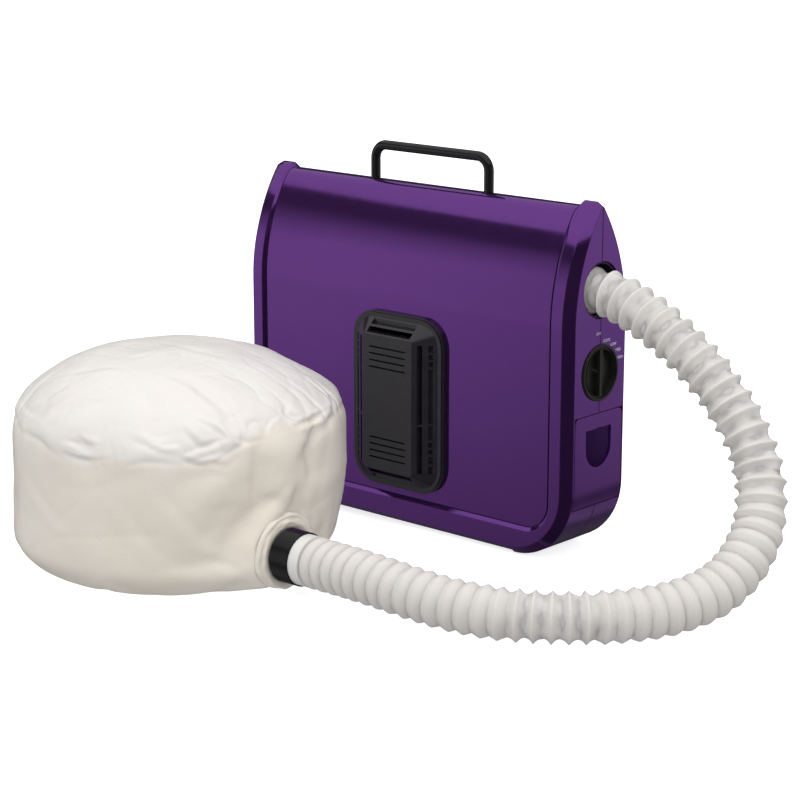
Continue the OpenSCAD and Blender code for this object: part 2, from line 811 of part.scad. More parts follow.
module motor() color("#9a9da3") translate([fan_x, 0, fan_z]) difference() {
    union() {
        rod_y(motor_d/2, motor_y0, motor_y1 - 2);
        rod_y(motor_d/2 - 6, motor_y1 - 2 - eps, motor_y1);
        rod_y(7.2, motor_y0 - 2.5, motor_y0 + 1);
    }
    rod_y(motor_shaft_r + run_fit, -big/2, motor_y1 - 1);
    rod_y(4.5, motor_y0 - 3, motor_y0 + 2);
}

module motor_bearing() color("#c9a227") translate([fan_x, 0, fan_z]) difference() {
    rod_y(4.5, motor_y0 - 2.5, motor_y0 + 2);
    rod_y(motor_shaft_r + run_fit, -big/2, big/2);
}

module motor_shaft() color("#c3c6cb") translate([fan_x, 0, fan_z])
    rod_y(motor_shaft_r, hub_y0 - 14, motor_y1 - 1.5);

module motor_screws() color("#8d9096") translate([fan_x, 0, fan_z])
    for (a = [45:90:315]) rotate([0, a, 0]) translate([motor_screw_out, 0, 0]) {
        rod_y(screw_r, motor_y0 - scroll_w, motor_y0);
        rod_y(2.6, motor_y0 - scroll_w - 1.4, motor_y0 - scroll_w);
    }

// ---- heater and outlet ----

tube_x0 = duct_x + 14;
tube_x1 = half_w - 57;
tube_r = heater_d/2;
tube_t = 1;

adapter_t = 1.8;

module adapter_form(in, past) {
    hull() {
        block(duct_x - past, duct_x + 1, scroll_y0 - 2 + in, scroll_y1 + scroll_w - in,
            fan_z + scroll_r0 - scroll_w + in, fan_z + scroll_r1 + scroll_w - in);
        translate([0, 0, outlet_z]) rod_x(tube_r + 1.6 - in, tube_x0 - 2, tube_x0 + past, $fn = 32);
    }
}

module discharge_adapter() color("#cfcac0") difference() {
    adapter_form(0, 0);
    adapter_form(adapter_t, 1);
}

module heater_tube() color("#b4b6ba") translate([0, 0, outlet_z]) difference() {
    rod_x(tube_r, tube_x0, tube_x1);
    rod_x(tube_r - tube_t, tube_x0 - 1, tube_x1 + 1);
}

coil_x = [for (i = [0:6]) tube_x0 + 8 + i*(tube_x1 - tube_x0 - 16)/6];
coil_r = tube_r - 6;
wire_r = 0.7;

module heater_frame() color("#c9b48a") translate([0, 0, outlet_z]) difference() {
    union() {
        block(tube_x0 + 3, tube_x1 - 3, -0.6, 0.6, -tube_r + tube_t + 0.1, tube_r - tube_t - 0.1);
        block(tube_x0 + 3, tube_x1 - 3, -tube_r + tube_t + 0.1, tube_r - tube_t - 0.1, -0.6, 0.6);
    }
    for (x = coil_x) for (s = [-1, 1]) {
        block(x - wire_r - 0.2, x + wire_r + 0.2, -2, 2, s*coil_r - wire_r - 0.2, s*coil_r + wire_r + 0.2);
        block(x - wire_r - 0.2, x + wire_r + 0.2, s*coil_r - wire_r - 0.2, s*coil_r + wire_r + 0.2, -2, 2);
    }
}

module heater_coil() color("#8a6a4a") translate([0, 0, outlet_z]) {
    for (x = coil_x) translate([x, 0, 0]) rotate([0, 90, 0])
        rotate_extrude() translate([coil_r, 0]) circle(r = wire_r, $fn = 16);
    rotate([45, 0, 0]) translate([0, 0, coil_r]) rod_x(wire_r*0.9, coil_x[0], coil_x[6]);
}

// The fuse's leads end before the duct, and the thermostat sits behind them
fuse_r = 2.2;
fuse_x1 = tube_x1 - 10;
fuse_x0 = fuse_x1 - 12;
lead_x0 = fuse_x0 - 8;
thermostat_r = 8;
thermostat_x = lead_x0 - thermostat_r - 2;

module thermostat() color("#3c3c40") translate([thermostat_x, 0, outlet_z - tube_r]) {
    translate([0, 0, -5]) cylinder(r = thermostat_r, h = 4);
    translate([0, 0, -1.2]) cylinder(r = thermostat_r - 2, h = 1.2);
    for (s = [-1, 1]) block(s*5 - 1.5, s*5 + 1.5, -0.4, 0.4, -12, -4);
}

module thermal_fuse() color("#d9d5c5") translate([0, 0, outlet_z - tube_r - fuse_r]) {
    rod_x(fuse_r, fuse_x0, fuse_x1);
    rod_x(0.6, lead_x0, tube_x1 - 5.5);
}

hose_sides = 8;
spigot_r = hose_bore/2*cos(180/hose_sides) - still_gap;     // inside the flats of the hose's bore
spigot_x1 = half_w - 17;
hose_x0 = half_w - 31;
socket_r = outlet_d/2 - 0.3;
socket_x0 = half_w - 41;

module outlet_duct() color("#cfcac0") translate([0, 0, outlet_z]) difference() {
    union() {
        rod_x(tube_r + 1.7, tube_x1 - 5, tube_x1 + 4);
        translate([tube_x1 + 4 - eps, 0, 0]) rotate([0, 90, 0])
            cylinder(r1 = tube_r + 1.7, r2 = spigot_r + 1.6, h = 10);
        rod_x(spigot_r, tube_x1 + 12, spigot_x1);
    }
    rod_x(tube_r, tube_x1 - 6, tube_x1);
    translate([tube_x1 - eps, 0, 0]) rotate([0, 90, 0])
        cylinder(r1 = tube_r - 1, r2 = spigot_r - 1.8, h = 12);
    rod_x(spigot_r - 1.8, tube_x1 + 11, half_w);
}

// Lining of the hole in the case, which holds the cuff
module hose_socket() color("#231136") translate([0, 0, outlet_z]) difference() {
    union() {
        rod_x(socket_r, socket_x0, half_w - 1.5);
        rod_x(socket_r + 2, socket_x0, half_w - bevel_x - 4.2);
    }
    rod_x(socket_bore, socket_x0 + 2.5, half_w);
    rod_x(hose_d/2 - 1.5, socket_x0 - 1, half_w);
}

socket_bore = hose_d/2 + 0.6;

module case_cuff() color("#efefef") translate([0, 0, outlet_z]) difference() {
    rod_x(hose_d/2 - 0.4, socket_x0 + 3, hose_x0);
    rod_x(spigot_r + 0.1, 0, half_w);
}

// ---- hose ----

// Middle of the hose, from the case to the bonnet
hose_route = [[144, 0, 217.5], [162, 0, 217.5], [175, 0, 217.5], [189, 0, 214.6], [205, -1, 209.4],
    [225, -2, 201.2], [247, -3, 189.6], [269, -3, 174.6], [289, -3, 157.2], [307, -4, 137.6],
    [322, -7, 118], [333, -13, 99], [340, -21, 82], [345, -32, 66], [347, -46, 53], [346, -62, 41],
    [341, -81, 31], [332, -102, 25], [320, -123, 21.5], [305, -145, 20.5], [289, -164, 20.5],
    [269, -181, 20.5], [238, -199, 21], [204, -211, 23], [173, -218, 26.3], [144, -221, 29],
    [119, -222, 30], [99, -222, 30], [79, -222, 30]];
fine = 10;           // steps of the curve between two points of the route

function mix4(a, b, c, d, t) =
    0.5*((2*b) + (c - a)*t + (2*a - 5*b + 4*c - d)*t*t + (3*b - a - 3*c + d)*t*t*t);

route_n = len(hose_route);
route_pts = [for (i = [0:route_n - 2], k = [0:fine - 1])
    mix4(hose_route[max(i - 1, 0)], hose_route[i], hose_route[i + 1],
        hose_route[min(i + 2, route_n - 1)], k/fine)];
line_pts = concat(route_pts, [hose_route[route_n - 1]]);
step_len = [for (i = [1:len(line_pts) - 1]) norm(line_pts[i] - line_pts[i - 1])];
run_len = [for (i = 0, s = 0; i < len(line_pts); s = s + (i < len(step_len) ? step_len[i] : 0), i = i + 1) s];
hose_len = run_len[len(run_len) - 1];
axis_table = [for (c = [0:2]) [for (i = [0:len(line_pts) - 1]) [run_len[i], line_pts[i][c]]]];

function hose_at(s) = [lookup(s, axis_table[0]), lookup(s, axis_table[1]), lookup(s, axis_table[2])];
function unit(v) = v/norm(v);
function hose_dir(s) = unit(hose_at(min(s + 5, hose_len)) - hose_at(max(s - 5, 0)));
lean = [1, 1, 1];

// One ring of points round the hose at s along it
function hose_ring(s, r) =
    let (p = hose_at(s), t = hose_dir(s), u = unit(cross(t, lean)), v = cross(t, u))
    [for (k = [0:hose_sides - 1]) p + r*(cos(k*360/hose_sides)*u + sin(k*360/hose_sides)*v)];

ribs = floor(hose_len/hose_pitch);
rib_len = hose_len/ribs;
outer_rings = concat([hose_ring(0, hose_d/2 - rib_depth)],
    [for (i = [0:ribs - 1]) each [hose_ring((i + 0.5)*rib_len, hose_d/2),
        hose_ring((i + 1)*rib_len, hose_d/2 - rib_depth)]]);
inner_rings = [for (i = [ribs:-1:0]) hose_ring(i*rib_len, hose_bore/2)];
all_rings = concat(outer_rings, inner_rings);
ring_n = len(all_rings);
hose_points = [for (ring = all_rings) each ring];

module hose() color("#f1f0ee")
    polyhedron(points = hose_points, faces = [for (i = [0:ring_n - 1], k = [0:hose_sides - 1])
        let (a = i*hose_sides + k, b = i*hose_sides + (k + 1)%hose_sides,
            c = ((i + 1)%ring_n)*hose_sides + k, d = ((i + 1)%ring_n)*hose_sides + (k + 1)%hose_sides)
        each [[a, d, b], [a, c, d]]]);

// Least gap between stretches of the hose that are not neighbours
gap_step = 12;
gap_pts = [for (s = [0:gap_step:hose_len]) hose_at(s)];
apart = ceil(1.6*hose_d/gap_step);
self_gap = min([for (i = [0:len(gap_pts) - 1 - apart], k = [i + apart:len(gap_pts) - 1])
    norm(gap_pts[i] - gap_pts[k]) - hose_d]);
echo(hose_length = hose_len, hose_ribs = ribs, hose_least_self_gap = self_gap);

// ---- bonnet ----

hose_end = hose_route[route_n - 1];
cuff_x1 = hose_end[0];
port_y = hose_end[1];
port_z = hose_end[2];
collar_x0 = cuff_x1 - 27.5;
port_x = collar_x0 - 2.5 - fabric_t;        // inner face of the fabric at the port
bonnet_x = port_x + fabric_t - bonnet_r;
bonnet_y = port_y + 13;
boss_r2 = port_z - 0.6;
skirt_z = 26;
shoulder_z = bonnet_h - 60;
foot_r = bonnet_r - 30;

// Outline of the bonnet from the rim of its opening over the belly to the crown, drawn in by d
function bonnet_side(d) = concat(
    [[rim_r, d]],
    [for (i = [0:6]) let (a = -90 + 90*i/6)
        [foot_r + (bonnet_r - foot_r - d)*cos(a), skirt_z + (skirt_z - d)*sin(a)]],
    [for (i = [0:9]) let (a = 9*i)
        [(bonnet_r - d)*pow(cos(a), 0.85), shoulder_z + (bonnet_h - shoulder_z - d)*sin(a)]],
    [[0, bonnet_h - d]]);

module bonnet_form(d, sunk = 0) {
    translate([bonnet_x, bonnet_y, 0]) rotate_extrude($fn = 72)
        polygon(concat(bonnet_side(d), sunk > 0 ? [[0, -1], [rim_r, -1]] : [[0, d]]));
}

module at_port() {
    translate([0, port_y, port_z]) children();
}

module bonnet_fabric() {
    difference() {
        union() {
            bonnet_form(0);
            at_port() rod_x(boss_r2, bonnet_x + 60, port_x + fabric_t);
        }
        bonnet_form(fabric_t, 1);
        at_port() rod_x(boss_r2 - fabric_t, bonnet_x, port_x);
        at_port() rod_x(flange_r, 0, big);
    }
}

base_z = 14;                // seam between the side and the base

// Everything from z0 to z1
module layer(z0, z1) {
    block(-big, big, -big, big, z0, z1);
}

// The port stands in the side panel alone
module port_zone() {
    block(port_x - 40, port_x + 20, port_y - boss_r2 - 4, port_y + boss_r2 + 4, -1, port_z + boss_r2 + 4);
}

module bonnet_crown() color("#f3f1ec") intersection() {
    bonnet_fabric();
    layer(shoulder_z, big);
}

module bonnet_side() color("#e6e1d6") intersection() {
    bonnet_fabric();
    union() {
        layer(base_z, shoulder_z);
        port_zone();
    }
}

module bonnet_base() color("#dcd7ca") difference() {
    intersection() {
        bonnet_fabric();
        layer(-1, base_z);
    }
    port_zone();
}

lining_in = fabric_t + air_gap;
lining_t = 1.6;

module bonnet_lining() color("#e6e2d6") difference() {
    bonnet_form(lining_in);
    bonnet_form(lining_in + lining_t, 1);
    block(-big, big, -big, big, -10, lining_in + lining_t/2);
}

cord_r = 1.1;
band_t = 4;
band_r = rim_r - still_gap;
cord_ring_r = band_r - band_t/2;
cord_z = 4;

// Hem that joins the fabric and the lining round the opening, with a channel for its elastic
module rim_band() color("#dcd8ca") translate([bonnet_x, bonnet_y, 0]) difference() {
    cylinder(r = band_r, h = lining_in + lining_t/2);
    translate([0, 0, -1]) cylinder(r = band_r - band_t, h = lining_in + 10);
    translate([0, 0, cord_z]) rotate_extrude() translate([cord_ring_r, 0]) circle(r = cord_r + 0.1, $fn = 16);
}

module elastic_cord() color("#cfcabd") translate([bonnet_x, bonnet_y, cord_z])
    rotate_extrude() translate([cord_ring_r, 0]) circle(r = cord_r, $fn = 16);

// ---- hose port of the bonnet ----

flange_r = hose_d/2 + 1;
collar_r = hose_d/2 + 0.8;

module port_flange() color("#f3f2ee") at_port() difference() {
    union() {
        rod_x(flange_r, port_x - 1, port_x + fabric_t + 1);
        rod_x(boss_r2 - 0.6, port_x + fabric_t, port_x + fabric_t + 2.2);
        rod_x(flange_r - 2, port_x - 1, collar_x0 + collar_l - 8);
    }
    rod_x(hose_bore/2, 0, big);
}

module port_clamp() color("#e8e6df") at_port() difference() {
    rod_x(boss_r2 - fabric_t - 0.4, port_x - 2.2, port_x);
    rod_x(flange_r, port_x - 1, port_x + 1);
    rod_x(hose_bore/2, 0, big);
}

module lock_collar() color("#17171a") at_port() difference() {
    rod_x(collar_r, collar_x0, collar_x0 + collar_l);
    rod_x(flange_r - 2 + run_fit, collar_x0 - 1, collar_x0 + collar_l - 7.7);
    rod_x(hose_d/2 - 0.1, collar_x0 + collar_l - 7.8, big);
}

module bonnet_cuff() color("#efefef") at_port() difference() {
    rod_x(hose_d/2 - 0.4, collar_x0 + collar_l - 7.4, cuff_x1);
    rod_x(hose_bore/2, 0, big);
}

front_shell();
rear_shell();
front_panel();
rear_panel();
rubber_feet();
case_screws();
intake_grille();
filter_frame();
filter_mesh();
handle();
handle_pins();
handle_brackets();
bracket_screws();
knob();
knob_bezel();
rotary_switch();
switch_shaft();
switch_nut();
cord_door();
door_pin();
cord_compartment();
cord_gland();
terminal_block();
blower_housing();
blower_cover();
cover_screws();
blower_screws();
fan_wheel();
motor();
motor_shaft();
motor_bearing();
motor_screws();
discharge_adapter();
heater_tube();
heater_frame();
heater_coil();
thermostat();
thermal_fuse();
outlet_duct();
hose_socket();
case_cuff();
hose();
bonnet_cuff();
lock_collar();
port_flange();
port_clamp();
bonnet_crown();
bonnet_side();
bonnet_base();
bonnet_lining();
rim_band();
elastic_cord();
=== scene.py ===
"""Soft bonnet hair dryer: purple case, white ribbed hose and puffed fabric bonnet.

Lengths are in metres and angles in radians, unless a comment says otherwise.
"""
import math

import bmesh
import bpy
import numpy as np
from mathutils import Matrix, Vector, noise


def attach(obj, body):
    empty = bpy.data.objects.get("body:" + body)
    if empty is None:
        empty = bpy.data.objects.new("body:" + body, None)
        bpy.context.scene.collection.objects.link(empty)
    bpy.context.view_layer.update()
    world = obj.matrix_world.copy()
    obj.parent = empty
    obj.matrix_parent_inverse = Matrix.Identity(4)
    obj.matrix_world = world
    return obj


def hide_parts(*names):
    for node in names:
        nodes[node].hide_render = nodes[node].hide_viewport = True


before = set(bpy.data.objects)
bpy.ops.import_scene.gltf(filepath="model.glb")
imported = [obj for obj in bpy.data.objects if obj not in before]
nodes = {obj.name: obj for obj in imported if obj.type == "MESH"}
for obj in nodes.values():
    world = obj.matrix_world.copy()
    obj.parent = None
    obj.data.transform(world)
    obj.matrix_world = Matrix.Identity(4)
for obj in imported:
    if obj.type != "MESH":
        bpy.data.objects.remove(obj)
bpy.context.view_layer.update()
scene = bpy.context.scene
MM = 0.001


def new_object(name, data):
    made = bpy.data.objects.new(name, data)
    scene.collection.objects.link(made)
    return made


# ---- camera ----

CAMERA_AT = Vector((1.21023, -1.38885, 0.56119))
CAMERA_TURN = math.radians(41.86)
CAMERA_DIP = math.radians(14.03)
CAMERA_LENS = 102.346  # mm
CAMERA_FILM = 36  # mm
CAMERA_RIGHT = Vector((math.cos(CAMERA_TURN), math.sin(CAMERA_TURN), 0))
CAMERA_AHEAD = Vector((-math.sin(CAMERA_TURN) * math.cos(CAMERA_DIP),
                       math.cos(CAMERA_TURN) * math.cos(CAMERA_DIP), -math.sin(CAMERA_DIP)))
CAMERA_UP = CAMERA_RIGHT.cross(CAMERA_AHEAD)
IMAGE_SIZE = 800  # pixels


def make_camera():
    turn = Matrix((CAMERA_RIGHT, CAMERA_UP, -CAMERA_AHEAD)).transposed()
    data = bpy.data.cameras.new("camera")
    data.lens = CAMERA_LENS
    data.sensor_width = CAMERA_FILM
    data.clip_end = 100
    scene.camera = new_object("camera", data)
    scene.camera.matrix_world = Matrix.Translation(CAMERA_AT) @ turn.to_4x4()


make_camera()

# ---- mesh helpers ----


def shade_smooth(mesh):
    mesh.polygons.foreach_set("use_smooth", [True] * len(mesh.polygons))


def new_piece(name, points, faces):
    mesh = bpy.data.meshes.new(name)
    mesh.from_pydata([tuple(p) for p in points], [], faces)
    mesh.update()
    shade_smooth(mesh)
    return new_object(name, mesh)


def places(mesh):
    return np.array([tuple(v.co) for v in mesh.vertices])


def evaluated(piece):
    """The piece with its modifiers applied."""
    return piece.evaluated_get(bpy.context.evaluated_depsgraph_get())


def grid_faces(rows, columns, closed_rows=False):
    """Quads over rows x columns points, closed round each row, and from last row to first if asked."""
    faces = []
    for i in range(rows if closed_rows else rows - 1):
        for k in range(columns):
            a, b = i * columns + k, i * columns + (k + 1) % columns
            c, d = (i + 1) % rows * columns + k, (i + 1) % rows * columns + (k + 1) % columns
            faces.append((a, b, d, c))
    return faces


# ---- hose ----

# Middle of the hose, from the case to the bonnet
HOSE_ROUTE = [(0.144, 0, 0.2175), (0.162, 0, 0.2175), (0.175, 0, 0.2175), (0.189, 0, 0.2146),
              (0.205, -0.001, 0.2094), (0.225, -0.002, 0.2012), (0.247, -0.003, 0.1896),
              (0.269, -0.003, 0.1746), (0.289, -0.003, 0.1572), (0.307, -0.004, 0.1376),
              (0.322, -0.007, 0.118), (0.333, -0.013, 0.099), (0.340, -0.021, 0.082), (0.345, -0.032, 0.066),
              (0.347, -0.046, 0.053), (0.346, -0.062, 0.041), (0.341, -0.081, 0.031),
              (0.332, -0.102, 0.025), (0.320, -0.123, 0.0215), (0.305, -0.145, 0.0205),
              (0.289, -0.164, 0.0205), (0.269, -0.181, 0.0205), (0.238, -0.199, 0.021),
              (0.204, -0.211, 0.023), (0.173, -0.218, 0.0263), (0.144, -0.221, 0.029),
              (0.119, -0.222, 0.030), (0.099, -0.222, 0.030), (0.079, -0.222, 0.030)]
HOSE_R = 0.020
HOSE_BORE_R = 0.015
HOSE_RIBS = 53
HOSE_SIDES = 64
STEPS_PER_RIB = 14
ROUTE_STEPS = 10  # points on the smooth route from one given point to the next
SOFTEN_STEPS = 9  # steps that are averaged to take the last kinks out of the route
SOFTEN_ENDS = 20  # steps at each end that stay as they are
RIB_GAP = 0.0002  # left between the crest of a rib and HOSE_R
RIB_DEPTH_THIN = 0.0045
RIB_DEPTH_ROUND = 0.0030
RIB_SWELL = (0.05, -0.1, 0.06)  # spread of the ribs' depth, and its least and most
RIB_DRIFT = 0.035  # spread of the crests' places, in ribs
DENT_DEPTH = 0.0005
HOSE_SEED = 7
# The neck where the hose leaves the case: distance along the hose, reach, shift and loss of radius
NECK_AT = 0.027
NECK_REACH = 0.015
NECK_SHIFT = (0, -0.0013, -0.0009)
NECK_LOSS = 0.0010


def smooth_route(points, fine):
    """Catmull-Rom curve through the points."""
    p = [Vector(q) for q in points]
    last = len(p) - 1
    line = []
    for i in range(last):
        a, b, c, d = p[max(i - 1, 0)], p[i], p[i + 1], p[min(i + 2, last)]
        for k in range(fine):
            t = k / fine
            line.append(0.5 * (2 * b + (c - a) * t + (2 * a - 5 * b + 4 * c - d) * t * t
                               + (3 * b - a - 3 * c + d) * t ** 3))
    return np.array([tuple(q) for q in line + [p[last]]])


def along(line, wanted):
    """Points of the line at the given lengths from its start."""
    run = np.concatenate([[0], np.cumsum(np.linalg.norm(np.diff(line, axis=0), axis=1))])
    return np.stack([np.interp(wanted, run, line[:, c]) for c in range(3)], axis=1)


def carried_frames(centres):
    """Two cross directions at each centre, carried along without twist."""
    ahead = np.gradient(centres, axis=0)
    ahead /= np.linalg.norm(ahead, axis=1)[:, None]
    side = np.cross(ahead[0], (0, 0, 1.0))
    sides = []
    for t in ahead:
        side = side - t * side.dot(t)
        side /= np.linalg.norm(side)
        sides.append(side)
    sides = np.array(sides)
    return sides, np.cross(ahead, sides)


def smooth_step(low, high, value):
    """0 up to low, 1 from high on, and smooth between them."""
    t = np.clip((value - low) / (high - low), 0, 1)
    return t * t * (3 - 2 * t)


def bell(value, middle, reach):
    """1 at the middle, falling to almost nothing at twice the reach from it."""
    return np.exp(-((value - middle) / reach) ** 2)


def rib_shape(distance, bulge):
    """Height of the rib, 0 to 1, at a distance of 0 (crest) to 1 (valley)."""
    sharp = np.clip(1 - distance, 0, 1) ** THIN_FALL
    sharp = np.where(distance < RIM_HALF, RIM_TOP - RIM_ROUND * (distance / RIM_HALF) ** 2, sharp)
    full = (1 - distance ** ROUND_FALL[0]) ** ROUND_FALL[1]
    return sharp + (full - sharp) * bulge


# Thin ribs fall off by this power from a rim of this half width, height and rounding
THIN_FALL = 2.4
RIM_HALF = 0.07
RIM_TOP = 0.93
RIM_ROUND = 0.06
ROUND_FALL = (2.1, 0.62)  # the two powers that give a round rib its section
# How full the ribs are along the hose, from thin rims (0) to round rings (1), by the share of its length
FULLNESS = [(0.0, 0.15), (0.05, 0.0), (0.35, 0.0), (0.43, 0.75), (0.50, 0.85), (0.57, 0.80), (0.625, 0.50),
            (0.655, 0.05), (0.725, 0.05), (0.765, 0.60), (0.90, 0.75), (1.0, 0.90)]
# How far apart the ribs are along the hose, drawn out at the case and pressed together at the bonnet
PITCH = [(0.0, 1.62), (0.021, 1.62), (0.022, 1.14), (0.35, 1.06), (0.50, 0.98), (0.75, 1.0), (0.85, 0.95),
         (1.0, 0.84)]


def on_curve(at, curve):
    """The value of a curve, given as (place, value) pairs, at a place."""
    return np.interp(at, [place for place, _ in curve], [value for _, value in curve])


def make_hose():
    line = smooth_route(HOSE_ROUTE, ROUTE_STEPS)
    length = np.linalg.norm(np.diff(line, axis=0), axis=1).sum()
    count = HOSE_RIBS * STEPS_PER_RIB + 1
    even = np.linspace(0, length, count)
    crowding = 1 / on_curve(even / length, PITCH)
    ribs_passed = np.concatenate([[0], np.cumsum((crowding[1:] + crowding[:-1]) / 2)])
    s = np.interp(np.arange(count) / (count - 1), ribs_passed / ribs_passed[-1], even)
    softened = along(line, s)
    kernel = np.ones(SOFTEN_STEPS) / SOFTEN_STEPS
    inner_steps = slice(SOFTEN_ENDS, -SOFTEN_ENDS)
    for c in range(3):
        before = np.full(SOFTEN_STEPS // 2, softened[0, c])
        after = np.full(SOFTEN_STEPS // 2, softened[-1, c])
        middle = np.convolve(np.concatenate([before, softened[:, c], after]), kernel, "valid")
        softened[inner_steps, c] = middle[inner_steps]
    neck = bell(s, NECK_AT, NECK_REACH)
    softened += np.outer(neck, NECK_SHIFT)
    side, top = carried_frames(softened)
    rng = np.random.default_rng(HOSE_SEED)
    spread, least, most = RIB_SWELL
    swell = 1 + np.clip(rng.normal(0, spread, HOSE_RIBS + 2), least, most)
    drift = rng.normal(0, RIB_DRIFT, HOSE_RIBS + 2)
    points, crest = [], []
    angle = np.arange(HOSE_SIDES) * 2 * math.pi / HOSE_SIDES
    dents = rng.normal(0, 1, (HOSE_RIBS + 2, 3))
    for i in range(count):
        turn = i / STEPS_PER_RIB
        rib = int(min(turn, HOSE_RIBS - 1e-6))
        phase = turn - rib
        distance = abs(phase - 0.5 - drift[rib] * math.sin(math.pi * phase)) * 2
        bulge = on_curve(s[i] / length, FULLNESS)
        depth = RIB_DEPTH_THIN + (RIB_DEPTH_ROUND - RIB_DEPTH_THIN) * bulge
        lift = rib_shape(min(distance, 1.0), bulge)
        radius = HOSE_R - RIB_GAP - NECK_LOSS * neck[i] - depth * swell[rib] * (1 - lift)
        slack = (1 - lift) * (1 - bulge) * DENT_DEPTH
        broad, turned, small = dents[rib]
        wave = (broad * np.sin(2 * angle + turned) + np.sin(5 * angle + 3 * small)) * slack
        r = radius + wave
        ring = (softened[i] + np.outer(r * np.cos(angle), side[i]) + np.outer(r * np.sin(angle), top[i]))
        points.append(ring)
        crest.append(np.full(HOSE_SIDES, lift))
    inner = []
    for i in range(count - 1, -1, -(STEPS_PER_RIB // 2)):
        inner.append(softened[i] + HOSE_BORE_R * (np.outer(np.cos(angle), side[i])
                                                  + np.outer(np.sin(angle), top[i])))
        crest.append(np.zeros(HOSE_SIDES))
    rings = points + inner
    piece = new_piece("ribbed_hose", np.concatenate(rings), grid_faces(len(rings), HOSE_SIDES, True))
    # how high each point stands on its rib; the vinyl paints shade between the ribs from it
    shade = piece.data.attributes.new("crest", "FLOAT", "POINT")
    shade.data.foreach_set("value", np.concatenate(crest))
    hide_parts("hose")
    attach(piece, "case")
    return piece


hose = make_hose()

# ---- bonnet ----

BONNET_AT = Vector((-0.081, -0.209, 0))
BONNET_R = 0.130
BONNET_TOP = 0.1690
SHOULDER_Z = 0.108
SKIRT_Z = 0.026
FOOT_R = 0.100
RIM_R = 0.086
RIM_Z = 0.0012
PORT_AT = Vector((0.049, -0.222, 0.030))
FLOOR_GAP = 0.0004  # left between the fabric and the floor
CROWN_FULL = 0.85  # power that fills out the crown's section towards its shoulder
CLOTH_STEP = 0.0054
CLOTH_ROUND = 144  # points round the widest rings
LEAST_ROUND = 12
HALVE_BELOW = 0.56  # a ring has half the points once its spacing is below this share of the widest
SIGHT = (1.2, 2.4, 0.0005)  # nearest and furthest distance from the camera to the bonnet, and the step


def bonnet_outline():
    """(radius, height) from the rim of the opening round to the middle of the crown."""
    line = [(RIM_R - 0.001, RIM_Z), (FOOT_R - 0.006, RIM_Z / 2)]
    for i in range(13):
        a = math.radians(-90 + 7.5 * i)
        line.append((FOOT_R + (BONNET_R - FOOT_R) * math.cos(a), SKIRT_Z + SKIRT_Z * math.sin(a) + FLOOR_GAP))
    for i in range(31):
        a = math.radians(3 * i)
        line.append((BONNET_R * math.cos(a) ** CROWN_FULL,
                     SHOULDER_Z + (BONNET_TOP - SHOULDER_Z) * math.sin(a)))
    return np.array(line)


def seen_on_bonnet(across, down):
    """The point of the bonnet's round outline that a pixel of the photograph shows."""
    pixels = CAMERA_LENS / CAMERA_FILM * IMAGE_SIZE
    ahead = CAMERA_AHEAD + CAMERA_RIGHT * ((across - IMAGE_SIZE / 2) / pixels)
    ahead += CAMERA_UP * ((IMAGE_SIZE / 2 - down) / pixels)
    ray = np.array(CAMERA_AT) + np.arange(*SIGHT)[:, None] * np.array(ahead)
    line = bonnet_outline()[2:]    # from the foot up, without the base
    out = np.hypot(ray[:, 0] - BONNET_AT.x, ray[:, 1] - BONNET_AT.y)
    outside = np.where(ray[:, 2] > 0, out - np.interp(ray[:, 2], line[:, 1], line[:, 0]), 1)
    reached = (outside <= 0).nonzero()[0]
    return ray[reached[0] if len(reached) else outside.argmin()]


def bonnet_rings():
    """(radius, height, points round) of each ring, ending with the pole."""
    line = bonnet_outline()
    run = np.concatenate([[0], np.cumsum(np.linalg.norm(np.diff(line, axis=0), axis=1))])
    rings = []
    for d in np.linspace(0, run[-1], int(run[-1] / CLOTH_STEP) + 1)[:-1]:
        r, z = np.interp(d, run, line[:, 0]), np.interp(d, run, line[:, 1])
        count = CLOTH_ROUND
        while count > LEAST_ROUND and r < BONNET_R * count / CLOTH_ROUND * HALVE_BELOW:
            count //= 2
        rings.append((r, z, count))
    return rings + [(0.0, BONNET_TOP, 1)]


def joined_rings(rings):
    """Faces between rings whose counts are equal, halve or end in a single point."""
    faces, start = [], 0
    for (_, _, n), (_, _, m) in zip(rings, rings[1:]):
        nxt = start + n
        for k in range(n):
            a, b = start + k, start + (k + 1) % n
            if m == n:
                faces.append((a, b, nxt + (k + 1) % n, nxt + k))
            elif m == 1:
                faces.append((a, b, nxt))
            elif k % 2 == 0:
                c, d = nxt + k // 2, nxt + (k // 2 + 1) % m
                mid, end = start + k + 1, start + (k + 2) % n
                faces += [(a, mid, c), (mid, d, c), (mid, end, d)]
        start = nxt
    return faces


# The fabric lies flat round the port out to one radius, and has left it by the next
PORT_FLAT_R = 0.027
PORT_FREE_R = 0.050
PORT_SIDE_OUT = (0.098, 0.120)  # distances from the bonnet's middle between which it starts to reach out
PORT_SEAT = 0.0006  # the fabric's depth behind the port's face


def bonnet_shape(rings):
    """Points of the rings, and how far each belongs to the flat part round the port."""
    points = []
    for r, z, count in rings:
        for k in range(count):
            a = 2 * math.pi * k / count
            points.append((BONNET_AT.x + r * math.cos(a), BONNET_AT.y + r * math.sin(a), z))
    p = np.array(points)
    # the fabric reaches out to the ring that holds the hose
    out = np.hypot(p[:, 0] - BONNET_AT.x, p[:, 1] - BONNET_AT.y)
    off = np.hypot(p[:, 1] - PORT_AT.y, p[:, 2] - PORT_AT.z)
    near = (1 - smooth_step(PORT_FLAT_R, PORT_FREE_R, off)) * smooth_step(*PORT_SIDE_OUT, out) * (p[:, 0] > 0)
    p[:, 0] += near * (PORT_AT.x - PORT_SEAT - p[:, 0])
    return p, near
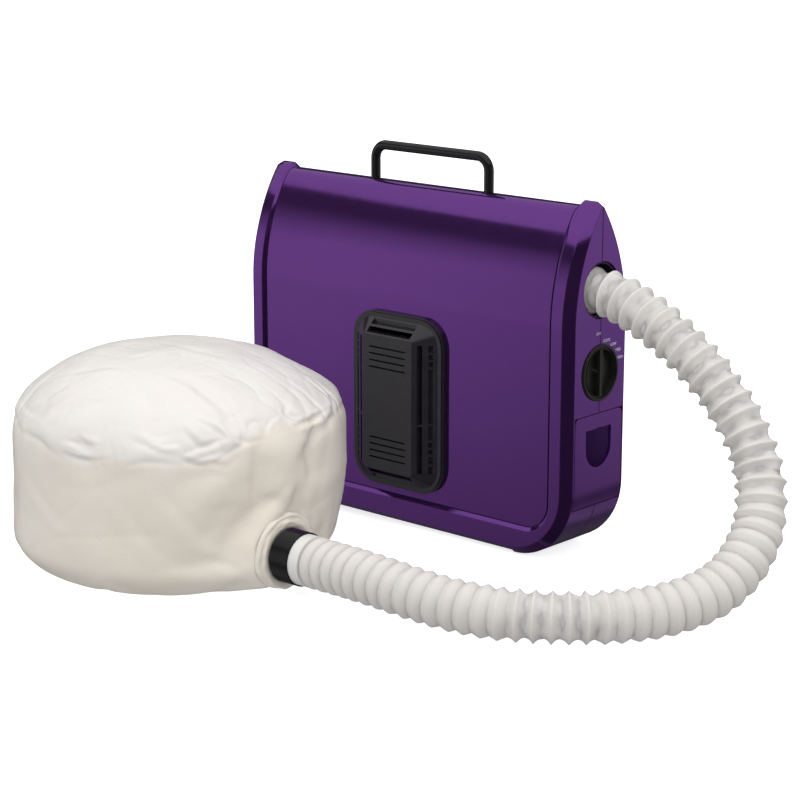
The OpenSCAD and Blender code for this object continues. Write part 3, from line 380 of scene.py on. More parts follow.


# Seam under the crown, read from the photograph as pixels (across, down) where it shows, and
# guessed as (angle in degrees, height) where it is hidden
SEAM_SEEN = [(20, 425), (40, 443), (64, 456), (107, 464), (140, 464), (170, 464), (218, 460), (243, 447),
             (267, 434), (315, 422), (335, 413), (350, 405)]
SEAM_HIDDEN = [(75, 0.122), (100, 0.114), (130, 0.121), (155, 0.116), (180, 0.120), (215, 0.114)]


def bonnet_seam():
    """Angles in degrees round the bonnet, and the seam's height at each."""
    seam = list(SEAM_HIDDEN)
    for pixel in SEAM_SEEN:
        x, y, z = seen_on_bonnet(*pixel)
        seam.append((math.degrees(math.atan2(y - BONNET_AT.y, x - BONNET_AT.x)), z))
    return [angle for angle, _ in seam], [height for _, height in seam]


SEAM_ANGLES, SEAM_HEIGHTS = bonnet_seam()

# Folds pressed into the fabric: depth and width in mm, side and share of the bulge beside it, and the fold's
# place, read from the photograph as pixels (across, down)
FOLDS = {
    "main crease": (3.0, 4.8, 0.7, [(192, 385), (208, 396), (220, 405), (232, 423), (242, 444)]),
    "arch": (2.0, 2.4, -0.3, [(245, 437), (248, 423), (256, 420), (263, 425), (267, 433)]),
    "pocket": (2.6, 2.6, -0.4, [(284, 401), (286, 411), (300, 416)]),
    "pocket lip": (2.6, 2.1, 0.7, [(296, 425), (312, 418), (320, 414)]),
    "pocket rim": (2.1, 3.6, -1.0, [(296, 432), (310, 436), (324, 427), (332, 411), (328, 395), (316, 380)]),
    "front lump": (2.4, 2.3, -0.7, [(182, 430), (192, 440), (200, 447), (216, 444)]),
    "front scallop": (2.1, 2.0, -0.8, [(180, 458), (196, 465), (220, 463)]),
    "left pucker": (2.0, 1.9, -0.6, [(80, 440), (88, 445), (97, 447)]),
    "left pucker below": (2.0, 2.0, -0.7, [(66, 452), (78, 458), (92, 462)]),
    "middle lump": (1.9, 2.6, -0.8, [(133, 441), (145, 446), (157, 451), (175, 457)]),
    "left diagonal": (1.8, 3.2, -0.5, [(19, 421), (45, 409), (66, 399)]),
    "left diagonal above": (1.6, 3.0, -0.5, [(53, 414), (78, 408), (104, 402)]),
    "soft hollow": (1.8, 7.0, 0.4, [(125, 388), (143, 394), (153, 415)]),
    "ripple left": (1.2, 3.4, 0.5, [(50, 382), (85, 374), (125, 370)]),
    "ripple right": (0.8, 4.0, 0.5, [(208, 362), (250, 384), (290, 398)]),
    "ripple far right": (0.6, 4.0, 0.5, [(240, 352), (275, 367), (312, 388)]),
    "ripple top": (1.0, 4.0, 0.5, [(163, 345), (190, 352), (225, 360)]),
    "port crease long": (1.3, 3.2, 0.6, [(252, 552), (285, 520), (312, 506), (336, 482)]),
    "port crease steep": (1.1, 3.2, 0.6, [(256, 540), (262, 515), (280, 490), (300, 470)]),
    "side slope": (1.2, 4.5, 0.5, [(160, 488), (185, 517), (215, 545)]),
    "foot crease": (1.6, 3.2, 0.6, [(205, 560), (232, 566), (250, 572)]),
    "side hollow": (0.9, 6.0, 0.4, [(95, 470), (100, 500), (95, 530)]),
    "side slope low": (1.0, 5.0, 0.5, [(120, 500), (150, 540), (190, 570)]),
    "side slope left": (0.9, 5.0, 0.5, [(30, 470), (45, 500), (75, 530)]),
    "side right": (0.6, 5.0, 0.5, [(300, 440), (322, 470), (335, 500)]),
    "left pucker edge": (1.3, 1.5, 0.8, [(66, 441), (80, 444), (94, 450)]),
    "left seam edge": (1.2, 1.6, -0.8, [(64, 453), (81, 460), (108, 459)]),
    "left pucker inner": (1.1, 1.4, 0.8, [(72, 441), (82, 448), (92, 453)]),
    "front lump edge": (1.5, 1.6, 0.8, [(181, 455), (200, 447), (227, 438)]),
    "front seam edge": (1.3, 1.5, -0.8, [(189, 462), (206, 457), (223, 451)]),
    "front seam below": (1.3, 1.6, 0.8, [(210, 462), (227, 467), (236, 458)]),
    "main crease foot": (1.7, 1.8, 0.8, [(223, 424), (236, 438), (245, 440)]),
    "main crease side": (1.5, 1.8, -0.8, [(196, 421), (215, 430), (227, 439)]),
    "left diagonal below": (1.3, 2.0, 0.6, [(23, 402), (29, 411), (45, 419)]),
    "pocket edge": (1.4, 1.6, 0.8, [(281, 404), (287, 412), (299, 421), (311, 419)]),
    "pocket ledge": (1.4, 1.6, -0.8, [(295, 424), (313, 415), (329, 407)]),
    "arch edge": (1.2, 1.6, 0.8, [(264, 432), (268, 420), (276, 412)]),
    "main crease start": (1.1, 4.2, 0.7, [(170, 378), (190, 386), (214, 404)]),
    "middle lump edge": (1.4, 1.8, 0.8, [(150, 440), (165, 446), (178, 443)])}
FOLD_SHARE = 0.65  # share of the folds' depths that is used
FOLD_STEPS = 8  # points on a fold from one given point to the next
FOLD_FALL = 1.3  # power by which a fold's section rises to its edge
FOLD_REACH = 6  # widths from a fold within which it still counts
FOLD_ENDS = (0.04, 0.92, 0.7)  # where on a half sine wave its depth starts, for how long, and the power
BULGE_AT = 1.9  # widths from a fold to the bulge beside it
BULGE_WIDTH = 1.1


def round_bonnet(points):
    """Angle in degrees round the bonnet, and height over the seam of the crown."""
    angle = np.degrees(np.arctan2(points[:, 1] - BONNET_AT.y, points[:, 0] - BONNET_AT.x))
    seam = np.interp(angle, SEAM_ANGLES, SEAM_HEIGHTS, period=360)
    return angle, points[:, 2] - seam


# How firmly the cloth is held, and how much it shrinks, at the seam under the crown; the hem has 1 of both
SEAM_HOLD = 0.12
SEAM_SHRINK = 0.35
SEAM_REACH = 0.004
HEM_TOP = 0.0022
HEM_R = FOOT_R + 0.002
PORT_HELD = 0.93  # share of belonging to the port from which a point is held


def cloth_groups(piece, points, near):
    pin = piece.vertex_groups.new(name="held")
    tight = piece.vertex_groups.new(name="tight")
    over = round_bonnet(points)[1]
    out = np.hypot(points[:, 0] - BONNET_AT.x, points[:, 1] - BONNET_AT.y)
    seam = bell(over, 0, SEAM_REACH) * (out > FOOT_R)
    hem = (points[:, 2] < HEM_TOP) & (out < HEM_R)
    for index in range(len(points)):
        hold = max(float(hem[index]), SEAM_HOLD * float(seam[index]), float(near[index] > PORT_HELD))
        if hold > 0:
            pin.add([index], hold, "REPLACE")
        tight.add([index], max(SEAM_SHRINK * float(seam[index]), float(hem[index])), "REPLACE")


# Settings of the cloth, which fills with air for this many frames
CLOTH_FRAMES = 50
CLOTH = {"quality": 6, "mass": 0.06, "tension_stiffness": 18, "compression_stiffness": 18,
         "shear_stiffness": 8, "bending_stiffness": 0.06, "tension_damping": 8, "compression_damping": 8,
         "shear_damping": 8, "air_damping": 2.5, "vertex_group_mass": "held", "pin_stiffness": 1.0,
         "vertex_group_shrink": "tight", "shrink_min": -0.075, "shrink_max": 0.0, "use_pressure": True,
         "uniform_pressure_force": 1.4}
# How far a point may move: at the floor, and what is added up to a height
MOVE_LEAST = 0.0006
MOVE_MORE = 0.0042
MOVE_FREE_Z = 0.05


def run_cloth(piece, frames):
    """Lets the skin fill with air as cloth, and leaves it in the shape it reached."""
    rest = places(piece.data)
    modifier = piece.modifiers.new("cloth", "CLOTH")
    for key, value in CLOTH.items():
        setattr(modifier.settings, key, value)
    modifier.settings.effector_weights.gravity = 0.0
    modifier.collision_settings.use_collision = False
    modifier.point_cache.frame_end = frames
    for frame_number in range(1, frames + 1):
        scene.frame_set(frame_number)
    reached = places(evaluated(piece).data)
    piece.modifiers.remove(modifier)
    scene.frame_set(1)
    moved = reached - rest
    size = np.linalg.norm(moved, axis=1)[:, None] + 1e-9
    limit = MOVE_MORE * smooth_step(0.0, MOVE_FREE_Z, rest[:, 2])[:, None] + MOVE_LEAST
    return rest + moved / size * limit * np.tanh(size / limit)


def fold_height(points, normals, depth, width, lean, path):
    """How far one fold presses the surface in, below zero, or lifts it beside the fold."""
    line = smooth_route([seen_on_bonnet(*pixel) for pixel in path], FOLD_STEPS)
    ahead = np.gradient(line, axis=0)
    ahead /= np.linalg.norm(ahead, axis=1)[:, None]
    height = np.zeros(len(points))
    reach = FOLD_REACH * width * MM
    inside = (points > line.min(axis=0) - reach) & (points < line.max(axis=0) + reach)
    close = np.all(inside, axis=1).nonzero()[0]
    offset = points[close][:, None, :] - line[None, :, :]
    facing = normals[close][:, None, :]
    offset -= (offset * facing).sum(axis=2, keepdims=True) * facing
    gap = np.linalg.norm(offset, axis=2)
    nearest = gap.argmin(axis=1)
    rows = np.arange(len(close))
    gap = gap[rows, nearest] / (width * MM)
    beside = np.cross(ahead[nearest], normals[close])
    signed = (offset[rows, nearest] * beside).sum(axis=1) / (width * MM)
    start, span, power = FOLD_ENDS
    ends = np.sin(math.pi * (start + span * nearest / (len(line) - 1))) ** power
    from_bulge = (signed * math.copysign(1, lean) - BULGE_AT) / BULGE_WIDTH
    bulge = np.exp(-from_bulge ** 2 - np.maximum(gap - abs(signed), 0) ** 2)
    height[close] = depth * MM * ends * (abs(lean) * bulge - np.exp(-gap ** FOLD_FALL))
    return height


# Fields of small creases: turn of the grain, fineness across and along it, seed, depth, and where they lie
CREASES = [(0.4, 30, 6, 3.1, 0.0004, "crown"), (1.7, 22, 4, 9.4, 0.0004, "both"),
           (2.9, 38, 7, 5.7, 0.00025, "crown"), (0.9, 17, 3, 1.3, 0.0004, "below")]
CREASE_AXIS = Vector((0.3, 1, 0.5)).normalized()
CREASE_EDGE = 0.14  # noise value at which a crease ends
CREASE_FALL = 1.4
PATCH_GRAIN = 9  # fineness of the patches that have creases
# Turn and seed of the patches, against those of the creases
PATCH_TURN = 0.6
PATCH_SEED = 20
# The seam under the crown, which wanders up and down by this much
SEAM_WANDER = 0.008
SEAM_DEPTH = 0.0010
SEAM_WIDTH = 0.0022
# The roll over the seam
ROLL_HEIGHT = 0.0016
ROLL_OVER = 0.008
ROLL_WIDTH = 0.007
# The gathers over the seam: depth, edge below, fade above, noise value at their edge and power of their fall
GATHER_DEPTH = 0.0018
GATHER_START = (-0.003, 0.003)
GATHER_FADE = (0.008, 0.040)
GATHER_EDGE = 0.16
GATHER_FALL = 1.3
LUMP_GRAIN = 2.6
SLANT_GRAIN = 4.6
SLANT = (7, 6)  # how fast the gathers' noise slants with the height
CROWN_FROM = (0.0, 0.02)  # heights over the seam between which the crown's creases set in
FREE_FROM = (0.0008, 0.012)  # heights between which the fabric is free of the floor


def crease_field(points, turn, fine, coarse, seed):
    """Long irregular creases: 0 on a crease, rising to 1 away from it."""
    spun = points @ np.array(Matrix.Rotation(turn, 3, CREASE_AXIS))
    field = np.empty(len(points))
    for i, (x, y, z) in enumerate(spun):
        field[i] = noise.noise(Vector((x * fine + seed, y * fine, z * coarse)))
    return np.clip(abs(field) / CREASE_EDGE, 0, 1)


def crumple(points, normals, near):
    """Seam, gathers, folds and small creases of the filled bonnet."""
    angle, over = round_bonnet(points)
    turned = np.radians(angle)
    lumps, slant = np.empty(len(points)), np.empty(len(points))
    for i in range(len(points)):
        c, s = math.cos(turned[i]), math.sin(turned[i])
        lumps[i] = noise.noise(Vector((c * LUMP_GRAIN, s * LUMP_GRAIN, 4.0)))
        place = (c * SLANT_GRAIN + over[i] * SLANT[0], s * SLANT_GRAIN, over[i] * SLANT[1])
        slant[i] = noise.noise(Vector(place))
    over = over - SEAM_WANDER * lumps
    roll = ROLL_HEIGHT * bell(over, ROLL_OVER, ROLL_WIDTH) * np.clip(0.4 + 1.6 * lumps, 0, 1.2)
    seam = -SEAM_DEPTH * bell(over, 0, SEAM_WIDTH) * np.clip(0.4 + 1.8 * lumps, 0, 1)
    gather = smooth_step(*GATHER_START, over) * (1 - smooth_step(*GATHER_FADE, over))
    gathers = -GATHER_DEPTH * (1 - np.clip(abs(slant) / GATHER_EDGE, 0, 1)) ** GATHER_FALL
    gathers = gathers * gather * (0.7 + lumps)
    height = roll + seam + gathers
    crown = smooth_step(*CROWN_FROM, over)
    shares = {"crown": crown, "both": 1.0, "below": 1 - crown}
    for turn, fine, coarse, seed, depth, where in CREASES:
        patch = crease_field(points, turn + PATCH_TURN, PATCH_GRAIN, PATCH_GRAIN, seed + PATCH_SEED)
        creases = (1 - crease_field(points, turn, fine, coarse, seed)) ** CREASE_FALL
        height -= depth * creases * patch * shares[where]
    for depth, width, lean, path in FOLDS.values():
        height += fold_height(points, normals, depth * FOLD_SHARE, width, lean, path)
    free = (1 - np.clip(near, 0, 1)) ** 2 * smooth_step(*FREE_FROM, points[:, 2])
    return points + normals * (height * free)[:, None]


# The side that moves in or out begins between these distances from the bonnet's middle
SIDE_OUT = (0.06, 0.11)
# Towards the hose the side draws in: angle and reach in degrees, heights where it starts and fades, amount
DRAW_ANGLE = (48, 38)
DRAW_START = (0.0, 0.012)
DRAW_FADE = (0.022, 0.085)
DRAW_IN = 0.0075
# On the left, by angle and reach in degrees, the foot swells out and the side over it lies further in
LEFT_ANGLE = (-138, 45)
FOOT_SWELL = 0.0034
FOOT_SWELL_Z = (0.022, 0.016)
LEFT_INSET = 0.0016
LEFT_INSET_Z = (0.04, 0.08)
# The shoulder on the left bulges, by angle and height
SHOULDER_SWELL = 0.0012
SHOULDER_ANGLE = (-132, 22)
SHOULDER_RISE = (0.122, 0.006)
# The hem lifts under the port, by angle, distance from the middle and height
LIFT = 0.0034
LIFT_ANGLE = (-6, 13)
LIFT_OUT = (0.100, 0.122)
LIFT_FADE = (0.001, 0.016)
# The crown sinks to the right of the camera's view, by distance and height
SINK = 0.0045
SINK_RIGHT = (0.0, 0.09)
SINK_Z = (0.115, 0.15)


def pull_in(points):
    """Moves the sides, the hem and the crown to the lopsided form that the photograph shows."""
    angle = round_bonnet(points)[0]
    height = points[:, 2]
    away = points[:, :2] - np.array([BONNET_AT.x, BONNET_AT.y])
    out = np.linalg.norm(away, axis=1)[:, None] + 1e-9
    share = bell(angle, *DRAW_ANGLE) * (1 - smooth_step(*DRAW_FADE, height))
    share *= smooth_step(*DRAW_START, height)
    points[:, :2] -= away / out * (DRAW_IN * share)[:, None] * smooth_step(*SIDE_OUT, out)
    swell = FOOT_SWELL * bell(height, *FOOT_SWELL_Z) - LEFT_INSET * smooth_step(*LEFT_INSET_Z, height)
    swell += SHOULDER_SWELL * bell(angle, *SHOULDER_ANGLE) * bell(height, *SHOULDER_RISE)
    left = bell(angle, *LEFT_ANGLE)
    points[:, :2] += away / out * (left * swell)[:, None] * smooth_step(*SIDE_OUT, out)
    port = bell(angle, *LIFT_ANGLE) * smooth_step(*LIFT_OUT, out[:, 0])
    points[:, 2] += LIFT * port * (1 - smooth_step(*LIFT_FADE, height))
    right = away @ np.array([math.cos(CAMERA_TURN), math.sin(CAMERA_TURN)])
    points[:, 2] -= SINK * smooth_step(*SINK_RIGHT, right) * smooth_step(*SINK_Z, height)
    return points


FINE_OVER = -0.006  # height over the seam from which the grid is halved


def refine_crown(mesh):
    """Halves the grid of the crown, which has the small folds."""
    dense = bmesh.new()
    dense.from_mesh(mesh)
    dense.verts.ensure_lookup_table()
    above = round_bonnet(np.array([tuple(v.co) for v in dense.verts]))[1] > FINE_OVER
    edges = [e for e in dense.edges if above[e.verts[0].index] and above[e.verts[1].index]]
    bmesh.ops.subdivide_edges(dense, edges=edges, cuts=1, use_grid_fill=True)
    dense.to_mesh(mesh)
    dense.free()
    shade_smooth(mesh)
    mesh.update()


# The slack skin before it is filled: its unevenness and the grain of that, how far inside it starts, the
# height of the middle it is drawn to, and the heights between which that sets in
WOBBLE = 0.0022
WOBBLE_GRAIN = 28
START_INSIDE = 0.0016
START_Z = 0.07
START_FREE = (0.001, 0.012)
PORT_STILL = (0.029, 0.040)  # radii round the port between which the folds set in
RAGGED = [(0.010, 30), (0.005, 95)]  # unevenness of the crown's edge, and its grain
CROWN_EDGE = (-0.002, 0.005)  # heights over the seam between which the crown's cloth takes over


def make_bonnet():
    rings = bonnet_rings()
    points, near = bonnet_shape(rings)
    piece = new_piece("bonnet_fabric", points, joined_rings(rings))
    cloth_groups(piece, points, near)
    wobble = [noise.noise(Vector(q) * WOBBLE_GRAIN) * WOBBLE - START_INSIDE for q in points]
    away = points - np.array([BONNET_AT.x, BONNET_AT.y, START_Z])
    away /= np.linalg.norm(away, axis=1)[:, None]
    free = (1 - np.clip(near, 0, 1)) * smooth_step(*START_FREE, points[:, 2])
    start = points + away * (np.array(wobble) * free)[:, None]
    piece.data.vertices.foreach_set("co", start.ravel())
    piece.data.vertices.foreach_set("co", run_cloth(piece, CLOTH_FRAMES).ravel())
    piece.data.update()
    smooth = piece.modifiers.new("smooth", "SUBSURF")
    smooth.levels = smooth.render_levels = 1
    fine = bpy.data.meshes.new_from_object(evaluated(piece))
    piece.modifiers.clear()
    piece.vertex_groups.clear()
    piece.data = fine
    refine_crown(fine)
    points = places(fine)
    normals = np.array([tuple(v.normal) for v in fine.vertices])
    off = np.hypot(points[:, 1] - PORT_AT.y, points[:, 2] - PORT_AT.z)
    near = (1 - smooth_step(*PORT_STILL, off)) * (points[:, 0] > 0)
    ragged = [sum(size * noise.noise(Vector(q) * grain) for size, grain in RAGGED) for q in points]
    over = round_bonnet(points)[1] + np.array(ragged)
    crown = fine.attributes.new("crown", "FLOAT", "POINT")
    crown.data.foreach_set("value", smooth_step(*CROWN_EDGE, over))
    points = pull_in(crumple(points, normals, near))
    points[:, 2] = np.maximum(points[:, 2], FLOOR_GAP)
    fine.vertices.foreach_set("co", points.ravel())
    fine.update()
    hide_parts("bonnet_crown", "bonnet_side", "bonnet_base")
    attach(piece, "case")
    return piece


# Section of the ring round the port: radius, and how far it stands out of the port's face
PORT_SECTION = [(0.0195, -0.0010), (0.0209, 0.0012), (0.0222, 0.0022), (0.0236, 0.0027), (0.0250, 0.0030),
                (0.0264, 0.0029), (0.0276, 0.0023), (0.0288, 0.0018), (0.0300, 0.0017), (0.0312, 0.0009),
                (0.0325, -0.0008)]
PORT_STEPS = 4
PORT_SIDES = 96
PORT_LOW_R = 0.0262  # the ring's reach towards the floor
PORT_WAVE = 0.0008
PORT_WAVE_GRAIN = (3, 300)  # round the ring, and across it
PORT_LOOSE = (0.019, 0.024)  # radii between which the waves set in


def make_port():
    """Soft ring of gathered fabric round the hose port."""
    profile = smooth_route([(r, x, 0) for r, x in PORT_SECTION], PORT_STEPS)[:, :2]
    around, across = PORT_WAVE_GRAIN
    points = []
    for r, x in profile:
        for k in range(PORT_SIDES):
            a = 2 * math.pi * k / PORT_SIDES
            place = Vector((around * math.cos(a), around * math.sin(a), r * across))
            soft = noise.noise(place) * PORT_WAVE * smooth_step(*PORT_LOOSE, r)
            low = min(1, PORT_LOW_R / r) if math.sin(a) < 0 else 1
            points.append((PORT_AT.x + x + soft, PORT_AT.y + (r + soft) * math.cos(a),
                           PORT_AT.z + (r + soft) * math.sin(a) * low))
    piece = new_piece("port_ring", points, grid_faces(len(profile), PORT_SIDES))
    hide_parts("port_flange")
    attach(piece, "case")
    return piece


bonnet = make_bonnet()
port_ring = make_port()
# The lacquer mirrors only the paper round the dryer, and neither the hose nor the bonnet with its fittings
UNMIRRORED = ["bonnet_lining", "rim_band", "elastic_cord", "port_clamp", "bonnet_cuff", "case_cuff",
              "lock_collar"]
for unmirrored in (hose, bonnet, port_ring, *(nodes[name] for name in UNMIRRORED)):
    unmirrored.visible_glossy = False

# ---- materials ----


class Nodes:
    """Short calls that add nodes to a tree."""

    def __init__(self, tree):
        self.tree = tree

    def link(self, source, target):
        self.tree.links.new(source, target)

    def node(self, kind, values=(), **settings):
        """A new node; values gives a number, a tone or the output of another node for some of its inputs."""
        node = self.tree.nodes.new(kind)
        for key, value in settings.items():
            setattr(node, key, value)
        for key, value in dict(values).items():
            if isinstance(value, bpy.types.NodeSocket):
                self.link(value, node.inputs[key])
            else:
                node.inputs[key].default_value = value
        return node

    def math(self, kind, first, second):
        return self.node("ShaderNodeMath", {0: first, 1: second}, operation=kind).outputs[0]

    def ramp(self, source, low, high, start=0.0, end=1.0, **settings):
        """A value from start to end as source goes from low to high."""
        values = {"Value": source, "From Min": low, "From Max": high, "To Min": start, "To Max": end}
        return self.node("ShaderNodeMapRange", values, **settings).outputs["Result"]


class Shader(Nodes):
    """A material with a principled shader."""

    def __init__(self, name, **sockets):
        self.material = bpy.data.materials.new(name)
        self.material.use_nodes = True
        super().__init__(self.material.node_tree)
        self.base = self.tree.nodes["Principled BSDF"]
        for key, value in sockets.items():
            self.base.inputs[key.replace("_", " ").title().replace("Ior", "IOR")].default_value = value
        self.place = self.node("ShaderNodeTexCoord").outputs["Object"]

    def noise(self, scale, detail=3.0, rough=0.5, stretch=(1, 1, 1), distort=0.0):
        place = self.node("ShaderNodeMapping", {"Vector": self.place, "Scale": stretch}).outputs[0]
        values = {"Vector": place, "Scale": scale, "Detail": detail, "Roughness": rough,
                  "Distortion": distort}
        return self.node("ShaderNodeTexNoise", values).outputs["Fac"]

    def mix(self, amount, first, second):
        """A colour between first and second, which are tones or outputs."""
        first, second = ((*tone, 1) if isinstance(tone, tuple) else tone for tone in (first, second))
        return self.node("ShaderNodeMix", {0: amount, 6: first, 7: second}, data_type="RGBA").outputs[2]

    def bump(self, *heights, edge=0.0):
        """heights are (source, distance in metres) pairs, laid over edges rounded to a radius."""
        last = None
        if edge:
            last = self.node("ShaderNodeBevel", {"Radius": edge}, samples=BEVEL_SAMPLES).outputs["Normal"]
        for source, distance in heights:
            node = self.node("ShaderNodeBump", {"Distance": distance, "Height": source})
            if last is not None:
                self.link(last, node.inputs["Normal"])
            last = node.outputs["Normal"]
        self.link(last, self.base.inputs["Normal"])

    def colour(self, source):
        self.link(source, self.base.inputs["Base Color"])

    def rough(self, source):
        self.link(source, self.base.inputs["Roughness"])


# Tones set against the photograph, each with the one that it drifts to
LACQUER_TONES = ((0.250, 0.078, 0.445), (0.262, 0.084, 0.462))
VINYL_TONES = ((0.752, 0.722, 0.694), (0.649, 0.606, 0.573))  # clean, and with painted shade between the ribs, in patches
CROWN_TONES = ((0.842, 0.810, 0.780), (0.832, 0.792, 0.755))
SIDE_TONES = ((0.868, 0.818, 0.745), (0.848, 0.778, 0.678))
VINYL_DEPTH = (1.0, 0.9, 0.8)
BRUSHED = (1, 1, 30)  # the grain of bright metal, finer along Z
LACQUER_EDGE = 0.0009  # radii of the rounded edges
MOULDED_EDGE = 0.0004
BEVEL_SAMPLES = 4


def purple_gloss():
    """Candy-purple lacquer over a metallic ground."""
    m = Shader("purple_gloss", metallic=0.94, roughness=0.10, coat_weight=0.25, coat_roughness=0.03,
               specular_ior_level=0.5)
    m.colour(m.mix(m.ramp(m.noise(9, 2), 0.3, 0.7), *LACQUER_TONES))
    m.rough(m.ramp(m.noise(60, 4), 0.3, 0.8, 0.085, 0.13))
    m.bump((m.noise(900, 2), 0.000002), (m.noise(10, 2), 0.00003), edge=LACQUER_EDGE)
    return m.material


def black_satin(name, tone, rough, grain=0.000004, gloss=0.62, edge=0.0005):
    """Black plastic or rubber with a fine grain."""
    m = Shader(name, specular_ior_level=gloss)
    lighter = tuple(min(1, c * 1.25) for c in tone)
    m.colour(m.mix(m.ramp(m.noise(120, 4), 0.35, 0.7), tone, lighter))
    m.rough(m.ramp(m.noise(300, 3), 0.3, 0.7, rough - 0.05, rough + 0.08))
    m.bump((m.noise(1800, 2), grain), edge=edge)
    return m.material


def moulded(name, tone, rough=0.5, speck=0.9):
    """Light or coloured plastic, darker in patches by the factor speck."""
    m = Shader(name)
    darker = tuple(c * speck for c in tone)
    m.colour(m.mix(m.ramp(m.noise(70, 4), 0.3, 0.7), darker, tone))
    m.rough(m.ramp(m.noise(240, 3), 0.3, 0.7, rough - 0.08, rough + 0.08))
    m.bump((m.noise(1400, 2), 0.00002), edge=MOULDED_EDGE)
    return m.material


def bright_metal(name, tone, rough=0.28):
    m = Shader(name, metallic=1.0)
    darker = tuple(c * 0.8 for c in tone)
    m.colour(m.mix(m.ramp(m.noise(200, 3, stretch=BRUSHED), 0.3, 0.7), darker, tone))
    m.rough(m.ramp(m.noise(500, 3, stretch=BRUSHED), 0.3, 0.7, rough - 0.08, rough + 0.12))
    m.bump((m.noise(900, 2, stretch=BRUSHED), 0.000008))
    return m.material


def white_vinyl():
    """Soft vinyl of the hose, with painted shade in patches between its ribs."""
    m = Shader("white_vinyl", subsurface_weight=0.35, subsurface_scale=0.006, specular_ior_level=0.45,
               subsurface_radius=VINYL_DEPTH)
    crest = m.node("ShaderNodeAttribute", attribute_name="crest").outputs["Fac"]
    # painted shade: the colour darkens in noise patches in the valleys between the ribs, by the crest
    # attribute
    shade_patches = m.ramp(m.noise(75, 4, 0.6), 0.42, 0.72)
    valley = m.ramp(crest, 0.0, 0.75, 1.0, 0.0)
    m.colour(m.mix(m.math("MULTIPLY", shade_patches, valley), *VINYL_TONES))
    m.rough(m.ramp(m.noise(160, 3), 0.3, 0.7, 0.30, 0.46))
    m.bump((m.noise(260, 3), 0.00012))
    return m.material


def bonnet_cloth():
    """Thin coated taffeta, warmer in patches."""
    m = Shader("bonnet_cloth", specular_ior_level=0.5, sheen_weight=0.08, sheen_roughness=0.4)
    crown = m.node("ShaderNodeAttribute", attribute_name="crown").outputs["Fac"]
    upper = m.mix(m.ramp(m.noise(13, 3), 0.38, 0.72), *CROWN_TONES)
    lower = m.mix(m.ramp(m.noise(11, 3), 0.35, 0.70), *SIDE_TONES)
    m.colour(m.mix(crown, lower, upper))
    m.rough(m.ramp(m.noise(90, 4), 0.3, 0.7, 0.34, 0.50))
    m.bump((m.noise(2600, 2), 0.00002), (m.noise(150, 4, 0.55, distort=1.5), 0.00022),
           (m.noise(34, 3, 0.5, distort=1.2), 0.00025))
    return m.material


def dress(names, material):
    for name in names.split():
        mesh = nodes[name].data
        mesh.materials.clear()
        mesh.materials.append(material)


WELD_REACH = 0.00001
SPLIT_ANGLE = 28  # degrees between faces from which an edge is sharp


def clean_shading():
    """Flat faces stay flat and curved ones smooth, on every piece carried over from CAD."""
    for piece in nodes.values():
        mesh = piece.data
        carried = mesh.attributes.get("custom_normal")
        if carried is not None:
            mesh.attributes.remove(carried)
        shade_smooth(mesh)
        weld = piece.modifiers.new("weld", "WELD")
        weld.merge_threshold = WELD_REACH
        split = piece.modifiers.new("split", "EDGE_SPLIT")
        split.split_angle = math.radians(SPLIT_ANGLE)
        split.use_edge_sharp = False
        piece.modifiers.new("weighted", "WEIGHTED_NORMAL")


def dress_all():
    """Gives every piece its material."""
    dress("front_shell rear_shell front_panel rear_panel cord_door", purple_gloss())
    dress("cord_compartment", moulded("inner_purple", (0.30, 0.12, 0.52), 0.35))
    dress("intake_grille", black_satin("black_satin", (0.0155, 0.0130, 0.0185), 0.19, gloss=0.95, edge=0.0))
    dress("handle", black_satin("black_gloss", (0.006, 0.006, 0.0065), 0.16, 0.000002, 0.8))
    dress("lock_collar", black_satin("collar_black", (0.0085, 0.0078, 0.0085), 0.24, 0.000002, 0.40))
    dress("knob knob_bezel", black_satin("dial_black", (0.0135, 0.0135, 0.0105), 0.34))
    dress("filter_frame filter_mesh", black_satin("inner_black", (0.010, 0.009, 0.011), 0.55))
    dress("hose_socket", black_satin("socket_dark", (0.02, 0.008, 0.035), 0.4))
    dress("rubber_feet cord_gland", black_satin("rubber", (0.012, 0.012, 0.013), 0.7, 0.00008, 0.4))
    dress("case_screws bracket_screws cover_screws blower_screws motor_screws handle_pins door_pin "
          "motor_shaft switch_shaft switch_nut handle_brackets motor",
          bright_metal("steel", (0.62, 0.62, 0.64)))
    dress("motor_bearing", bright_metal("bronze", (0.72, 0.48, 0.2)))
    dress("heater_tube", bright_metal("aluminium", (0.8, 0.81, 0.83)))
    dress("heater_coil", bright_metal("coil_wire", (0.42, 0.28, 0.18), 0.4))
    dress("blower_housing blower_cover discharge_adapter outlet_duct",
          moulded("duct_grey", (0.6, 0.58, 0.53)))
    dress("fan_wheel", moulded("fan_grey", (0.05, 0.055, 0.06)))
    dress("rotary_switch terminal_block", moulded("switch_ivory", (0.68, 0.65, 0.57)))
    dress("heater_frame", moulded("mica", (0.55, 0.42, 0.22), 0.35))
    dress("thermostat thermal_fuse", moulded("phenolic", (0.05, 0.05, 0.055)))
    hose.data.materials.append(white_vinyl())
    dress("case_cuff bonnet_cuff port_flange port_clamp",
          moulded("port_white", (0.84, 0.83, 0.80), 0.4, 0.96))
    cloth = bonnet_cloth()
    bonnet.data.materials.append(cloth)
    port_ring.data.materials.append(cloth)
    dress("bonnet_crown bonnet_side bonnet_base bonnet_lining rim_band elastic_cord", cloth)


clean_shading()
dress_all()

# ---- dial marks ----

